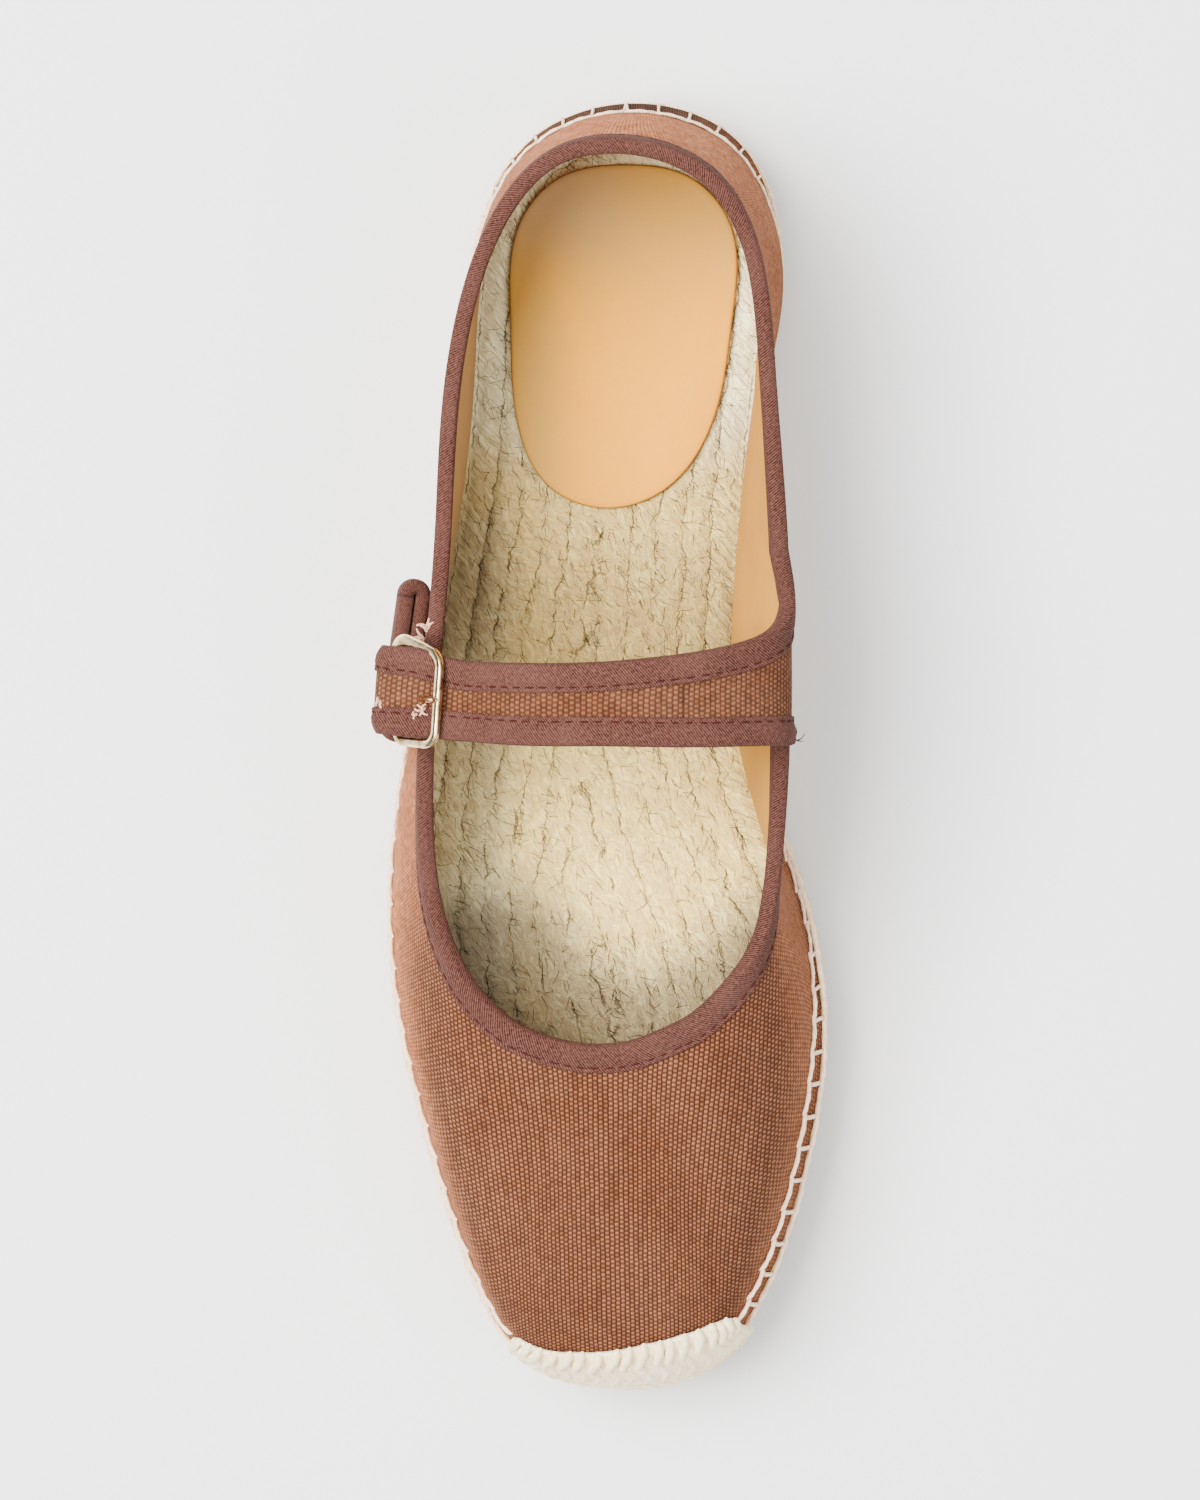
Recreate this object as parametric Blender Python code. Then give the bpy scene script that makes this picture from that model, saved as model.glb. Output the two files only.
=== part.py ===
"""Flat ballerina espadrille for the right foot: jute sole, canvas upper, instep strap and buckle.

Sizes are in millimetres. The toe points to -Y, the inner side of the foot to +X, up is +Z.
Lengths called back are measured from the back of the heel towards the toe.
"""
import math
from collections import namedtuple

import bpy
import numpy as np
from mathutils import Vector
from mathutils.bvhtree import BVHTree

MM = 0.001
SMALL_STEP = 0.01

# Shoe and sole
SHOE_LENGTH = 249.4
RUBBER_HEIGHT = 4.0
SOLE_HEIGHT = 20.0
RUBBER_INSET = 0.8
TOE_SPRING = 6.5
SPRING_START = 172.0
SPRING_POWER = 1.8
ARCH_LIFT = 1.0
ARCH_START = 68.0
ARCH_END = 128.0
PLAIT_ROWS = 2
PLAIT_DEPTH = 1.1
PLAIT_LEVELS = 8
SEAM_GAP = 0.3

# Upper
CANVAS = 1.4
FEATHER_INSET = 1.6
VAMP_RUN = 55.0
WALL_RISE, VAMP_RISE = 0.36, 0.74
WALL_DIP, VAMP_DIP = 0.32, 0.14
REACH = 0.5
RIB_STEPS = 8
COLUMNS = 4

# Binding tape
TAPE = 0.5
TAPE_GAP = 0.38
TAPE_FLAP = 4.4

# Strap and buckle
STRAP_BACK = 114.4
STRAP_SLANT = math.radians(4.0)
SLANT_START, SLANT_END = -20.0, -30.0
STRAP_HALF = 6.3
TIP_ROUND = 6.0
TIP_ANGLES = (22.0, 42.0, 60.0, 76.0)
TAIL_V = (0.68, 0.52, 0.36)
EAR_ROWS = 12
EAR_BLEND = 2.0
STRAP_STEPS = 3
BUCKLE_X, BUCKLE_Z = -32.4, 65.2
BUCKLE_TILT = math.radians(44.0)
BUCKLE_REACH = 5.4
BUCKLE_HALF = 8.3
BUCKLE_CORNER = 2.4
BUCKLE_FLARE = 2.4
BAR_ROOM = 0.35
WIRE = 0.8
WIRE_ROUND = 2
CORNER_STEPS = 4
PRONG = 0.7
PRONG_END = 7.0
HOOK_ANGLES = range(-60, -346, -30)
HOLE_START, HOLE_END = 0.1, 0.8
ROD_SIDES = 12
TAB = 0.9
TAB_HALF = 4.5
TAB_SLOT = 3.4
SLOT_DEPTH = 2.6
TAB_V = (0.82, 0.92)
TAB_ANGLES = range(-120, 211, 30)
TURN_ANGLES = (18.0, 45.0, 72.0, 98.0)
KEEPER_HALF = 15.6
KEEPER_SHIFT = 6.3
KEEPER_WALL = 1.0
KEEPER_HEIGHT = 8.0
KEEPER_V = 0.58
KEEPER_ROOM = 0.5
KEEPER_STEPS = 6

# Toe cap and heel sock
CAP = 1.5
CAP_SPAN = 1.12
CAP_STEPS = 18
CAP_ROWS = 4
CAP_TOP, CAP_TOP_END = 0.26, 0.12
CAP_DROP = 6.5
SOCK = 1.2

Rib = namedtuple("Rib", "sole_x sole_back top_x top_back top_z belly")

# One rib of the upper per row: its foot on the sole's outline, its head on the top edge,
# and how far its lower part swells outwards, or leans in where it is negative
RIBS = [
    Rib(4.0, 0.0, 4.0, 11.2, 68.0, -2.5),       # heel
    Rib(-16.3, 8.4, -9.8, 15.3, 67.2, -1.5),    # outer side, heel to toe
    Rib(-25.6, 28.0, -20.2, 29.5, 64.5, 0.3),
    Rib(-28.0, 56.0, -27.2, 56.0, 59.5, 1.5),
    Rib(-31.8, 86.0, -29.3, 86.0, 57.3, 2.0),
    Rib(-38.5, 122.0, -32.3, 122.0, 56.0, 2.0),
    Rib(-42.3, 152.0, -31.8, 150.0, 52.5, 2.0),
    Rib(-40.5, 178.0, -26.4, 165.8, 50.8, 1.6),
    Rib(-34.2, 204.0, -19.6, 173.7, 50.0, 1.0),
    Rib(-24.8, 230.0, -11.6, 178.5, 49.5, 0.5),
    Rib(-17.0, 241.5, -5.5, 180.2, 49.2, 0.5),
    Rib(3.2, 247.6, 1.2, 180.7, 49.1, 0.5),     # toe
    Rib(23.4, 241.5, 7.8, 179.6, 49.2, 0.0),    # inner side, toe to heel
    Rib(31.4, 230.0, 13.2, 177.4, 49.6, -1.5),
    Rib(39.9, 204.0, 20.8, 172.8, 50.3, -2.8),
    Rib(42.9, 178.0, 29.5, 163.0, 51.5, -3.0),
    Rib(38.4, 152.0, 33.6, 150.0, 53.5, -2.0),
    Rib(28.6, 122.0, 35.6, 122.0, 57.5, 0.0),
    Rib(28.5, 86.0, 35.3, 86.0, 58.3, 0.0),
    Rib(31.2, 56.0, 33.2, 56.0, 59.5, 0.5),
    Rib(34.0, 28.0, 29.5, 29.0, 64.5, -0.5),
    Rib(26.6, 8.0, 20.2, 16.0, 67.2, -2.0),
]
TOE_RIB = 11
EAR_RIB = 17
TAIL_RIB = 4.775

Section = namedtuple("Section", "x z toe_side heel_side")

# Strap sections from the inner top edge over the instep; both widths from the strap's middle line
STRAP = [
    Section(35.6, 57.8, 7.6, 28.4),
    Section(36.5, 62.5, 7.2, 20.0),
    Section(35.2, 67.0, 7.0, 14.5),
    Section(29.0, 72.0, 7.0, 10.4),
    Section(17.3, 75.8, 7.1, 8.0),
    Section(2.0, 76.6, 6.9, 6.5),
    Section(-12.0, 74.2, 6.9, 6.2),
]
SEAM_ROW = 4

Edge = namedtuple("Edge", "x back")

# Outline of the heel sock
SOCK_EDGE = [
    Edge(3.5, 12.0),
    Edge(-9.0, 14.5),
    Edge(-16.5, 23.0),
    Edge(-18.4, 42.0),
    Edge(-17.4, 60.0),
    Edge(-11.0, 74.0),
    Edge(0.5, 78.3),
    Edge(12.5, 74.0),
    Edge(21.4, 60.0),
    Edge(24.6, 42.0),
    Edge(24.0, 23.0),
    Edge(16.5, 14.5),
]


def along(back):
    return SHOE_LENGTH / 2 - back


def blend(low, high, share):
    return low + (high - low) * share


def ease(share):
    share = min(max(share, 0.0), 1.0)
    return share * share * (3.0 - 2.0 * share)


def unit(vector):
    return vector / np.linalg.norm(vector)


def spline(rows, closed):
    """Smooth curve through the rows, as a function of the row number, whole or in between."""
    points = np.array(rows, float)
    count = len(points)
    chain = np.vstack([points, points[:1]]) if closed else points
    steps = np.linalg.norm(np.diff(chain[:, :2], axis=0), axis=1)
    left = np.zeros((count, count))
    right = np.zeros_like(points)
    for i in range(count):
        if closed or 0 < i < count - 1:
            before, after = steps[i - 1], steps[i]
            last, following = (i - 1) % count, (i + 1) % count
            left[i, last] += 1 / before
            left[i, i] += 2 / before + 2 / after
            left[i, following] += 1 / after
            right[i] = 3 * (points[i] - points[last]) / before ** 2
            right[i] += 3 * (points[following] - points[i]) / after ** 2
        else:
            near = 1 if i == 0 else count - 2
            left[i, i] = 2
            left[i, near] = 1
            right[i] = 3 * (points[max(i, near)] - points[min(i, near)]) / steps[min(i, near)]
    slopes = np.linalg.solve(left, right)

    def at(number):
        row = int(math.floor(number))
        row = row % count if closed else min(max(row, 0), count - 2)
        f = number - math.floor(number) if closed else number - row
        to = (row + 1) % count
        run = steps[row]
        bend = f * f * (3 - 2 * f)
        start = f * (1 - f) ** 2 * run
        end = f * f * (1 - f) * run
        return points[row] * (1 - bend) + points[to] * bend + slopes[row] * start - slopes[to] * end

    return at


rib_at = spline(RIBS, True)


def toe_lift(y):
    """How far the sole rises towards the toe."""
    run = max(along(SPRING_START) - y, 0.0) / (SHOE_LENGTH - SPRING_START)
    return TOE_SPRING * run ** SPRING_POWER


def sole_floor(y):
    share = (along(ARCH_START) - y) / (ARCH_END - ARCH_START)
    arch = ARCH_LIFT * math.sin(math.pi * share) ** 2 if 0 < share < 1 else 0.0
    return toe_lift(y) + arch


def sole_top(y):
    return SOLE_HEIGHT + toe_lift(y)


def outline(number, offset):
    """Point of the sole's outline moved outwards, with its outward direction."""
    here = rib_at(number)
    slope = rib_at(number + SMALL_STEP) - rib_at(number - SMALL_STEP)
    outward = unit(np.array([-slope[1], -slope[0]]))
    return np.array([here[0], along(here[1])]) + outward * offset, outward


def upper_point(number, v):
    """Outer face of the upper: v runs from the sole at 0 to the top edge at 1."""
    rib = Rib(*rib_at(number))
    foot, outward = outline(number, -FEATHER_INSET)
    head = np.array([rib.top_x, along(rib.top_back)])
    run = np.linalg.norm(foot - head)
    vamp = ease(run / VAMP_RUN)
    low = sole_top(foot[1]) + SEAM_GAP
    height = rib.top_z - low
    start = np.array([*foot, low])
    lower = np.array([*(foot + outward * rib.belly), low + height * blend(WALL_RISE, VAMP_RISE, vamp)])
    upper = np.array([*blend(head, foot, REACH), rib.top_z - height * blend(WALL_DIP, VAMP_DIP, vamp)])
    end = np.array([*head, rib.top_z])
    w = 1 - v
    return start * w ** 3 + 3 * lower * w * w * v + 3 * upper * w * v * v + end * v ** 3


def upper_normal(number, v):
    around = upper_point(number + SMALL_STEP, v) - upper_point(number - SMALL_STEP, v)
    rising = upper_point(number, min(v + SMALL_STEP, 1)) - upper_point(number, max(v - SMALL_STEP, 0))
    return unit(np.cross(around, rising))


def strap_shift(x):
    """How far the strap's middle line runs back to the heel, and how steeply, at x."""
    span = SLANT_START - SLANT_END
    run = SLANT_START - x
    if run <= 0:
        return 0.0, 0.0
    if run < span:
        return math.tan(STRAP_SLANT) * run * run / (2 * span), math.tan(STRAP_SLANT) * run / span
    return math.tan(STRAP_SLANT) * (run - span / 2), math.tan(STRAP_SLANT)


def strap_middle(x, z):
    shift, slope = strap_shift(x)
    return np.array([x, along(STRAP_BACK - shift), z])


buckle_centre = strap_middle(BUCKLE_X, BUCKLE_Z)
slant_out = np.array([math.cos(STRAP_SLANT), -math.sin(STRAP_SLANT), 0.0])
up = np.array([0.0, 0.0, 1.0])
buckle_along = slant_out * math.cos(BUCKLE_TILT) + up * math.sin(BUCKLE_TILT)
buckle_across = np.array([math.sin(STRAP_SLANT), math.cos(STRAP_SLANT), 0.0])
buckle_out = np.cross(buckle_along, buckle_across)


def in_buckle(forward, across, out):
    return buckle_centre + buckle_along * forward + buckle_across * across + buckle_out * out


outer_bar = in_buckle(-BUCKLE_REACH, 0, 0)
half_strap = CANVAS / 2 + TAPE_GAP + TAPE
clear_under = WIRE + SEAM_GAP + half_strap + BAR_ROOM
turn_radius = WIRE + SEAM_GAP + TAB + SEAM_GAP + half_strap
keeper_hold = SEAM_GAP + KEEPER_WALL + KEEPER_ROOM + half_strap


def round_bar(degrees, radius):
    angle = math.radians(degrees)
    return outer_bar - slant_out * radius * math.sin(angle) + up * radius * math.cos(angle)


def beside_wall(number, v, offset):
    return upper_point(number, v) + upper_normal(number, v) * offset


def wall_across(number, v):
    """Direction of the buckle's bars laid flat on the upper."""
    normal = upper_normal(number, v)
    return unit(buckle_across - normal * np.dot(buckle_across, normal))


def strap_route():
    """Sections of the whole strap: over the instep, through the buckle and down to its tip."""
    rows = list(STRAP)
    turns = [in_buckle(BUCKLE_REACH, 0, -clear_under)]
    turns += [round_bar(degrees, turn_radius) for degrees in TURN_ANGLES]
    turns += [beside_wall(TAIL_RIB, v, keeper_hold) for v in TAIL_V]
    rows += [Section(p[0], p[2], STRAP_HALF, STRAP_HALF) for p in turns]
    return rows


strap_rows = strap_route()
strap_at = spline(strap_rows, False)
tail_row = len(STRAP) + len(TURN_ANGLES)


def strap_line(number):
    cut = Section(*strap_at(number))
    return strap_middle(cut.x, cut.z)


def strap_row(number, ear_blend, draw):
    """Outer face of the strap at one place: from the toe-side edge to the heel-side edge."""
    cut = Section(*strap_at(number))
    shift, bend = strap_shift(cut.x)
    across = unit(np.array([bend, 1.0, 0.0]))
    across = unit(blend(across, wall_across(TAIL_RIB, KEEPER_V), ease(number - tail_row)))
    tangent = strap_line(number + SMALL_STEP) - strap_line(number - SMALL_STEP)
    face = unit(np.cross(across, tangent)) * CANVAS / 2 * (1 - ear_blend)
    row = []
    for j in range(COLUMNS + 1):
        side = blend(-cut.toe_side, cut.heel_side, j / COLUMNS) * draw
        row.append(strap_line(number) + face + across * side)
    return row


def strap_stations():
    """Places along the strap and how far its width is drawn in there, to a rounded tip."""
    end = len(strap_rows) - 1
    last = np.linalg.norm(strap_line(end) - strap_line(end - 1))
    tip = end - TIP_ROUND / last
    stations = [(SEAM_ROW * k / EAR_ROWS, 1.0) for k in range(1, EAR_ROWS + 1)]
    steps = int((tip - SEAM_ROW) * STRAP_STEPS)
    stations += [(blend(SEAM_ROW, tip, k / steps), 1.0) for k in range(1, steps + 1)]
    for degrees in TIP_ANGLES:
        angle = math.radians(degrees)
        reach = math.sin(angle) / math.sin(math.radians(TIP_ANGLES[-1]))
        stations.append((blend(tip, end, reach), math.cos(angle)))
    return stations


def clear_scene():
    for item in list(bpy.data.objects):
        bpy.data.objects.remove(item, do_unlink=True)


def material(name, colour, roughness, metallic=0.0):
    made = bpy.data.materials.new(name)
    made.use_nodes = True
    shader = made.node_tree.nodes["Principled BSDF"]
    shader.inputs["Base Color"].default_value = (*colour, 1.0)
    shader.inputs["Roughness"].default_value = roughness
    shader.inputs["Metallic"].default_value = metallic
    made.diffuse_color = (*colour, 1.0)
    return made


def add_piece(name, points, faces, look):
    mesh = bpy.data.meshes.new(name)
    mesh.from_pydata([tuple(np.array(p) * MM) for p in points], [], faces)
    mesh.polygons.foreach_set("use_smooth", [True] * len(mesh.polygons))
    mesh.materials.append(look)
    piece = bpy.data.objects.new(name, mesh)
    bpy.context.scene.collection.objects.link(piece)
    return piece


def thicken(piece, thickness, side):
    shell = piece.modifiers.new("Wall", "SOLIDIFY")
    shell.thickness = thickness * MM
    shell.offset = side
    shell.use_even_offset = False
    return piece


def ring_solid(name, rings, look):
    """Closed body of stacked rings whose first point is the heel's and middle point the toe's."""
    count = len(rings[0])
    half = count // 2
    points = [p for ring in rings for p in ring]
    faces = []
    for level in range(len(rings) - 1):
        for i in range(count):
            low, to = level * count + i, level * count + (i + 1) % count
            faces.append((low, to, to + count, low + count))
    top = (len(rings) - 1) * count
    caps = [(0, 1, count - 1)]
    caps += [(i, i + 1, count - i - 1, count - i) for i in range(1, half - 1)]
    caps += [(half - 1, half, half + 1)]
    for cap in caps:
        faces.append(tuple(top + i for i in cap))
        faces.append(tuple(reversed(cap)))
    return add_piece(name, points, faces, look)


def sole_ring(offset, height):
    ring = []
    for i in range(len(RIBS) * COLUMNS):
        spot, outward = outline(i / COLUMNS, offset)
        ring.append((spot[0], spot[1], height(spot[1])))
    return ring


def build_sole():
    rubber = material("natural_rubber", (0.62, 0.47, 0.28), 0.7)
    jute = material("plaited_jute", (0.62, 0.50, 0.33), 0.9)

    def rubber_top(y):
        return sole_floor(y) + RUBBER_HEIGHT

    ring_solid("outsole", [sole_ring(-RUBBER_INSET, edge) for edge in (sole_floor, rubber_top)], rubber)
    rings = []
    for level in range(PLAIT_LEVELS + 1):
        share = level / PLAIT_LEVELS
        swell = abs(math.sin(math.pi * PLAIT_ROWS * share))

        def height(y, share=share):
            return blend(rubber_top(y) + SEAM_GAP, sole_top(y), share)

        rings.append(sole_ring(PLAIT_DEPTH * (swell - 1), height))
    ring_solid("jute_sole", rings, jute)


def build_sock():
    leather = material("tan_leather", (0.78, 0.50, 0.24), 0.5)
    edge = spline(SOCK_EDGE, True)
    rings = []
    for lift in (SEAM_GAP, SEAM_GAP + SOCK):
        spots = [Edge(*edge(i / COLUMNS)) for i in range(len(SOCK_EDGE) * COLUMNS)]
        rings.append([(s.x, along(s.back), sole_top(along(s.back)) + lift) for s in spots])
    ring_solid("heel_sock", rings, leather)


def upper_grid():
    """Points and faces of the outer face of upper, ear and strap, split at the strap's seam."""
    count = len(RIBS) * COLUMNS
    points = []
    for i in range(count):
        points += [upper_point(i / COLUMNS, j / RIB_STEPS) for j in range(RIB_STEPS + 1)]
    stride = RIB_STEPS + 1
    faces = []
    for i in range(count):
        for j in range(RIB_STEPS):
            a, b = i * stride + j, (i + 1) % count * stride + j
            faces.append((a, b, b + 1, a + 1))
    first = EAR_RIB * COLUMNS
    root = [(first + j) * stride + RIB_STEPS for j in range(COLUMNS + 1)]
    root_points = [points[i] for i in root]
    below = root
    plain_root = strap_row(0.0, 1.0, 1.0)
    strips = []
    for station, draw in strap_stations():
        near = 1 - ease(station / EAR_BLEND)
        row = strap_row(station, near, draw)
        row = [p + (r - q) * near for p, r, q in zip(row, root_points, plain_root)]
        start = len(points)
        points += row
        here = list(range(start, start + COLUMNS + 1))
        strip = [(below[j], below[j + 1], here[j + 1], here[j]) for j in range(COLUMNS)]
        strips.append(strip)
        below = here
    ear = [face for strip in strips[:EAR_ROWS] for face in strip]
    strap = [face for strip in strips[EAR_ROWS:] for face in strip]
    return points, faces + ear, strap


def only_used(points, faces):
    used = sorted({i for face in faces for i in face})
    place = {i: k for k, i in enumerate(used)}
    return [points[i] for i in used], [tuple(place[i] for i in face) for face in faces]


def top_edge(points, faces):
    """Open edge of the whole outer face, along the top, in order."""
    sides = {}
    for face in faces:
        for a, b in zip(face, face[1:] + face[:1]):
            sides[(a, b)] = True
    follow = {b: a for a, b in sides if (b, a) not in sides}
    feather = set(range(0, len(RIBS) * COLUMNS * (RIB_STEPS + 1), RIB_STEPS + 1))
    start = next(i for i in follow if i not in feather)
    loop = [start]
    while follow[loop[-1]] != start:
        loop.append(follow[loop[-1]])
    return loop


def build_binding(points, faces, look):
    """Folded tape: an outer flap, the fold over the edge and an inner flap, all along the top edge."""
    tree = BVHTree.FromPolygons([Vector(p) for p in points], faces)
    loop = top_edge(points, faces)
    depths = (TAPE_FLAP, TAPE_FLAP / 2, 0.0)
    fold = TAPE_GAP + TAPE
    ring_points = []
    for k, i in enumerate(loop):
        here = Vector(points[i])
        ahead = Vector(points[loop[(k + 1) % len(loop)]]) - here
        behind = here - Vector(points[loop[k - 1]])
        tangent = (ahead.normalized() + behind.normalized()).normalized()
        spot, normal, face, gap = tree.find_nearest(here)
        away = tangent.cross(normal).normalized()
        probe = tree.find_nearest(here + away * TAPE_FLAP)
        if probe[3] < tree.find_nearest(here - away * TAPE_FLAP)[3]:
            away = -away
        outer = []
        for depth in depths:
            spot, normal, face, gap = tree.find_nearest(here - away * depth)
            outer.append((spot, normal))
        edge, lean = outer[-1]
        deep, tilt = outer[0]
        rows = [s + n * TAPE_GAP for s, n in outer]
        rows += [edge + away * TAPE_GAP + lean * TAPE_GAP]
        rows += [edge + away * TAPE_GAP - lean * (CANVAS + TAPE_GAP)]
        rows += [deep - tilt * (CANVAS + TAPE_GAP), deep - tilt * (CANVAS + fold)]
        rows += [edge + away * TAPE_GAP - lean * (CANVAS + fold)]
        rows += [edge + away * fold - lean * (CANVAS + TAPE_GAP)]
        rows += [edge + away * fold + lean * TAPE_GAP]
        rows += [s + n * fold for s, n in reversed(outer)]
        ring_points.append(rows)
    count, around = len(ring_points), len(ring_points[0])
    flat = [p for ring in ring_points for p in ring]
    quads = []
    for k in range(count):
        for m in range(around):
            a, b = k * around + m, (k + 1) % count * around + m
            c, d = (k + 1) % count * around + (m + 1) % around, k * around + (m + 1) % around
            quads.append((d, c, b, a))
    return add_piece("edge_binding", flat, quads, look)


def build_upper():
    canvas = material("washed_canvas", (0.55, 0.20, 0.11), 0.9)
    tape = material("twill_tape", (0.27, 0.11, 0.085), 0.85)
    points, upper_faces, strap_faces = upper_grid()
    thicken(add_piece("upper", *only_used(points, upper_faces), canvas), CANVAS, -1)
    shown, faces = only_used(points, strap_faces)
    shown = [np.array(p) for p in shown]
    for j in range(COLUMNS + 1):
        ahead = shown[j + COLUMNS + 1] - shown[j]
        shown[j] = shown[j] + unit(ahead) * SEAM_GAP
    strap = thicken(add_piece("strap", shown, faces, canvas), CANVAS, -1)
    build_binding(points, upper_faces + strap_faces, tape)
    return strap, tape


def build_cap():
    yarn = material("cotton_yarn", (0.82, 0.74, 0.58), 0.9)
    points, faces = [], []
    for i in range(CAP_STEPS + 1):
        share = blend(-1.0, 1.0, i / CAP_STEPS)
        number = TOE_RIB + share * CAP_SPAN
        spot, outward = outline(number, SEAM_GAP)
        top = sole_top(spot[1])
        rise = blend(CAP_TOP, CAP_TOP_END, share * share)
        points.append((*spot, top - CAP_DROP))
        points.append((*spot, top - CAP_DROP / 2))
        points.append((*spot, top - SEAM_GAP))
        for step in range(1, CAP_ROWS + 1):
            v = blend(CAP_TOP_END / 2, rise, step / CAP_ROWS)
            points.append(upper_point(number, v) + upper_normal(number, v) * SEAM_GAP)
    stride = len(points) // (CAP_STEPS + 1)
    for i in range(CAP_STEPS):
        for j in range(stride - 1):
            a = i * stride + j
            faces.append((a, a + stride, a + stride + 1, a + 1))
    thicken(add_piece("toe_cap", points, faces, yarn), CAP, 1)


def add_wire(name, places, radius, closed, look):
    path = bpy.data.curves.new(name, "CURVE")
    path.dimensions = "3D"
    path.bevel_depth = radius * MM
    path.bevel_resolution = WIRE_ROUND
    path.use_fill_caps = True
    line = path.splines.new("POLY")
    line.points.add(len(places) - 1)
    for knot, place in zip(line.points, places):
        knot.co = (*(np.array(place) * MM), 1.0)
    line.use_cyclic_u = closed
    path.materials.append(look)
    piece = bpy.data.objects.new(name, path)
    bpy.context.scene.collection.objects.link(piece)
    return piece


def add_rod(name, start, end, radius, look):
    """Straight round rod between two places."""
    sides = ROD_SIDES
    middle = unit(np.array(end) - start)
    across = unit(np.cross(middle, up))
    over = np.cross(middle, across)
    points = []
    for place in (start, end):
        for k in range(sides):
            angle = math.tau * k / sides
            points.append(place + (across * math.cos(angle) + over * math.sin(angle)) * radius)
    faces = [(k, (k + 1) % sides, (k + 1) % sides + sides, k + sides) for k in range(sides)]
    faces += [tuple(reversed(range(sides))), tuple(range(sides, 2 * sides))]
    return add_piece(name, points, faces, look)


def build_buckle(strap, tape):
    metal = material("pale_brass", (0.80, 0.70, 0.52), 0.25, 1.0)
    frame = []
    for turn, (sx, sy) in enumerate(((1, 1), (-1, 1), (-1, -1), (1, -1))):
        for k in range(CORNER_STEPS + 1):
            angle = math.radians(90 * (turn + k / CORNER_STEPS))
            forward = sx * (BUCKLE_REACH - BUCKLE_CORNER) + BUCKLE_CORNER * math.cos(angle)
            across = sy * (BUCKLE_HALF - BUCKLE_CORNER) + BUCKLE_CORNER * math.sin(angle)
            if sy > 0:
                across += BUCKLE_FLARE * (BUCKLE_REACH - forward) / (2 * BUCKLE_REACH)
            frame.append(in_buckle(forward, across, 0))
    add_wire("buckle_frame", frame, WIRE, True, metal)
    hook = WIRE + SEAM_GAP + PRONG
    prong = []
    for degrees in HOOK_ANGLES:
        angle = math.radians(degrees)
        prong.append(in_buckle(-BUCKLE_REACH + hook * math.cos(angle), 0, hook * math.sin(angle)))
    tip = in_buckle(PRONG_END, 0, hook)
    prong.append(tip)
    add_wire("buckle_prong", prong, PRONG, False, metal)

    start = np.array(prong[-2])
    ends = [blend(start, tip, share) for share in (HOLE_START, HOLE_END)]
    cut_from(strap, add_rod("prong_hole", *ends, PRONG + SEAM_GAP, metal))

    path = []
    for v in TAB_V:
        spot = beside_wall(TAIL_RIB, v, TAPE + TAPE_GAP + SEAM_GAP + TAB / 2)
        path.append((spot, wall_across(TAIL_RIB, v)))
    for degrees in TAB_ANGLES:
        path.append((round_bar(degrees, WIRE + SEAM_GAP + TAB / 2), buckle_across))
    points, faces = [], []
    for spot, across in path:
        points += [spot - across * TAB_HALF, spot + across * TAB_HALF]
    for k in range(len(path) - 1):
        faces.append((2 * k, 2 * k + 2, 2 * k + 3, 2 * k + 1))
    tab = thicken(add_piece("buckle_tab", points, faces, tape), TAB, 0)
    slot = [in_buckle(-BUCKLE_REACH + forward, across, out)
            for forward in (-TAB_SLOT, TAB_SLOT) for across in (-TAB_SLOT / 2, TAB_SLOT / 2)
            for out in (-SLOT_DEPTH, TAB_SLOT)]
    sides = [(0, 1, 3, 2), (4, 6, 7, 5), (0, 4, 5, 1), (2, 3, 7, 6), (0, 2, 6, 4), (1, 5, 7, 3)]
    cut_from(tab, add_piece("tab_slot", slot, sides, tape))


def cut_from(piece, cutter):
    cutter.hide_render = True
    cutter.display_type = "WIRE"
    cut = piece.modifiers.new("Cut", "BOOLEAN")
    cut.operation = "DIFFERENCE"
    cut.solver = "EXACT"
    cut.object = cutter


def build_keeper(tape):
    """Flat loop on the outer side that holds the strap's end."""
    spot = upper_point(TAIL_RIB, KEEPER_V)
    normal = upper_normal(TAIL_RIB, KEEPER_V)
    across = wall_across(TAIL_RIB, KEEPER_V)
    rising = np.cross(across, normal)
    rising = rising if rising[2] > 0 else -rising
    middle = spot + normal * keeper_hold + across * KEEPER_SHIFT
    inside = half_strap + KEEPER_ROOM
    rings = []
    for radius, lift in ((inside + KEEPER_WALL, -1), (inside + KEEPER_WALL, 1), (inside, 1), (inside, -1)):
        ring = []
        for side in (1, -1):
            for k in range(KEEPER_STEPS + 1):
                angle = math.pi * k / KEEPER_STEPS
                reach = side * (KEEPER_HALF - inside - KEEPER_WALL + radius * math.sin(angle))
                ring.append(middle + normal * side * radius * math.cos(angle) + across * reach
                            + rising * lift * KEEPER_HEIGHT / 2)
        rings.append(ring)
    count = len(rings[0])
    points = [p for ring in rings for p in ring]
    faces = []
    for r in range(4):
        for k in range(count):
            a, b = r * count + k, r * count + (k + 1) % count
            c, d = (r + 1) % 4 * count + (k + 1) % count, (r + 1) % 4 * count + k
            faces.append((d, c, b, a))
    add_piece("strap_keeper", points, faces, tape)


clear_scene()
build_sole()
build_sock()
strap_piece, tape_look = build_upper()
build_cap()
build_buckle(strap_piece, tape_look)
build_keeper(tape_look)
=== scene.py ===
import math

import bpy
import numpy as np
from mathutils import Vector, Matrix, noise
from mathutils.bvhtree import BVHTree


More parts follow.
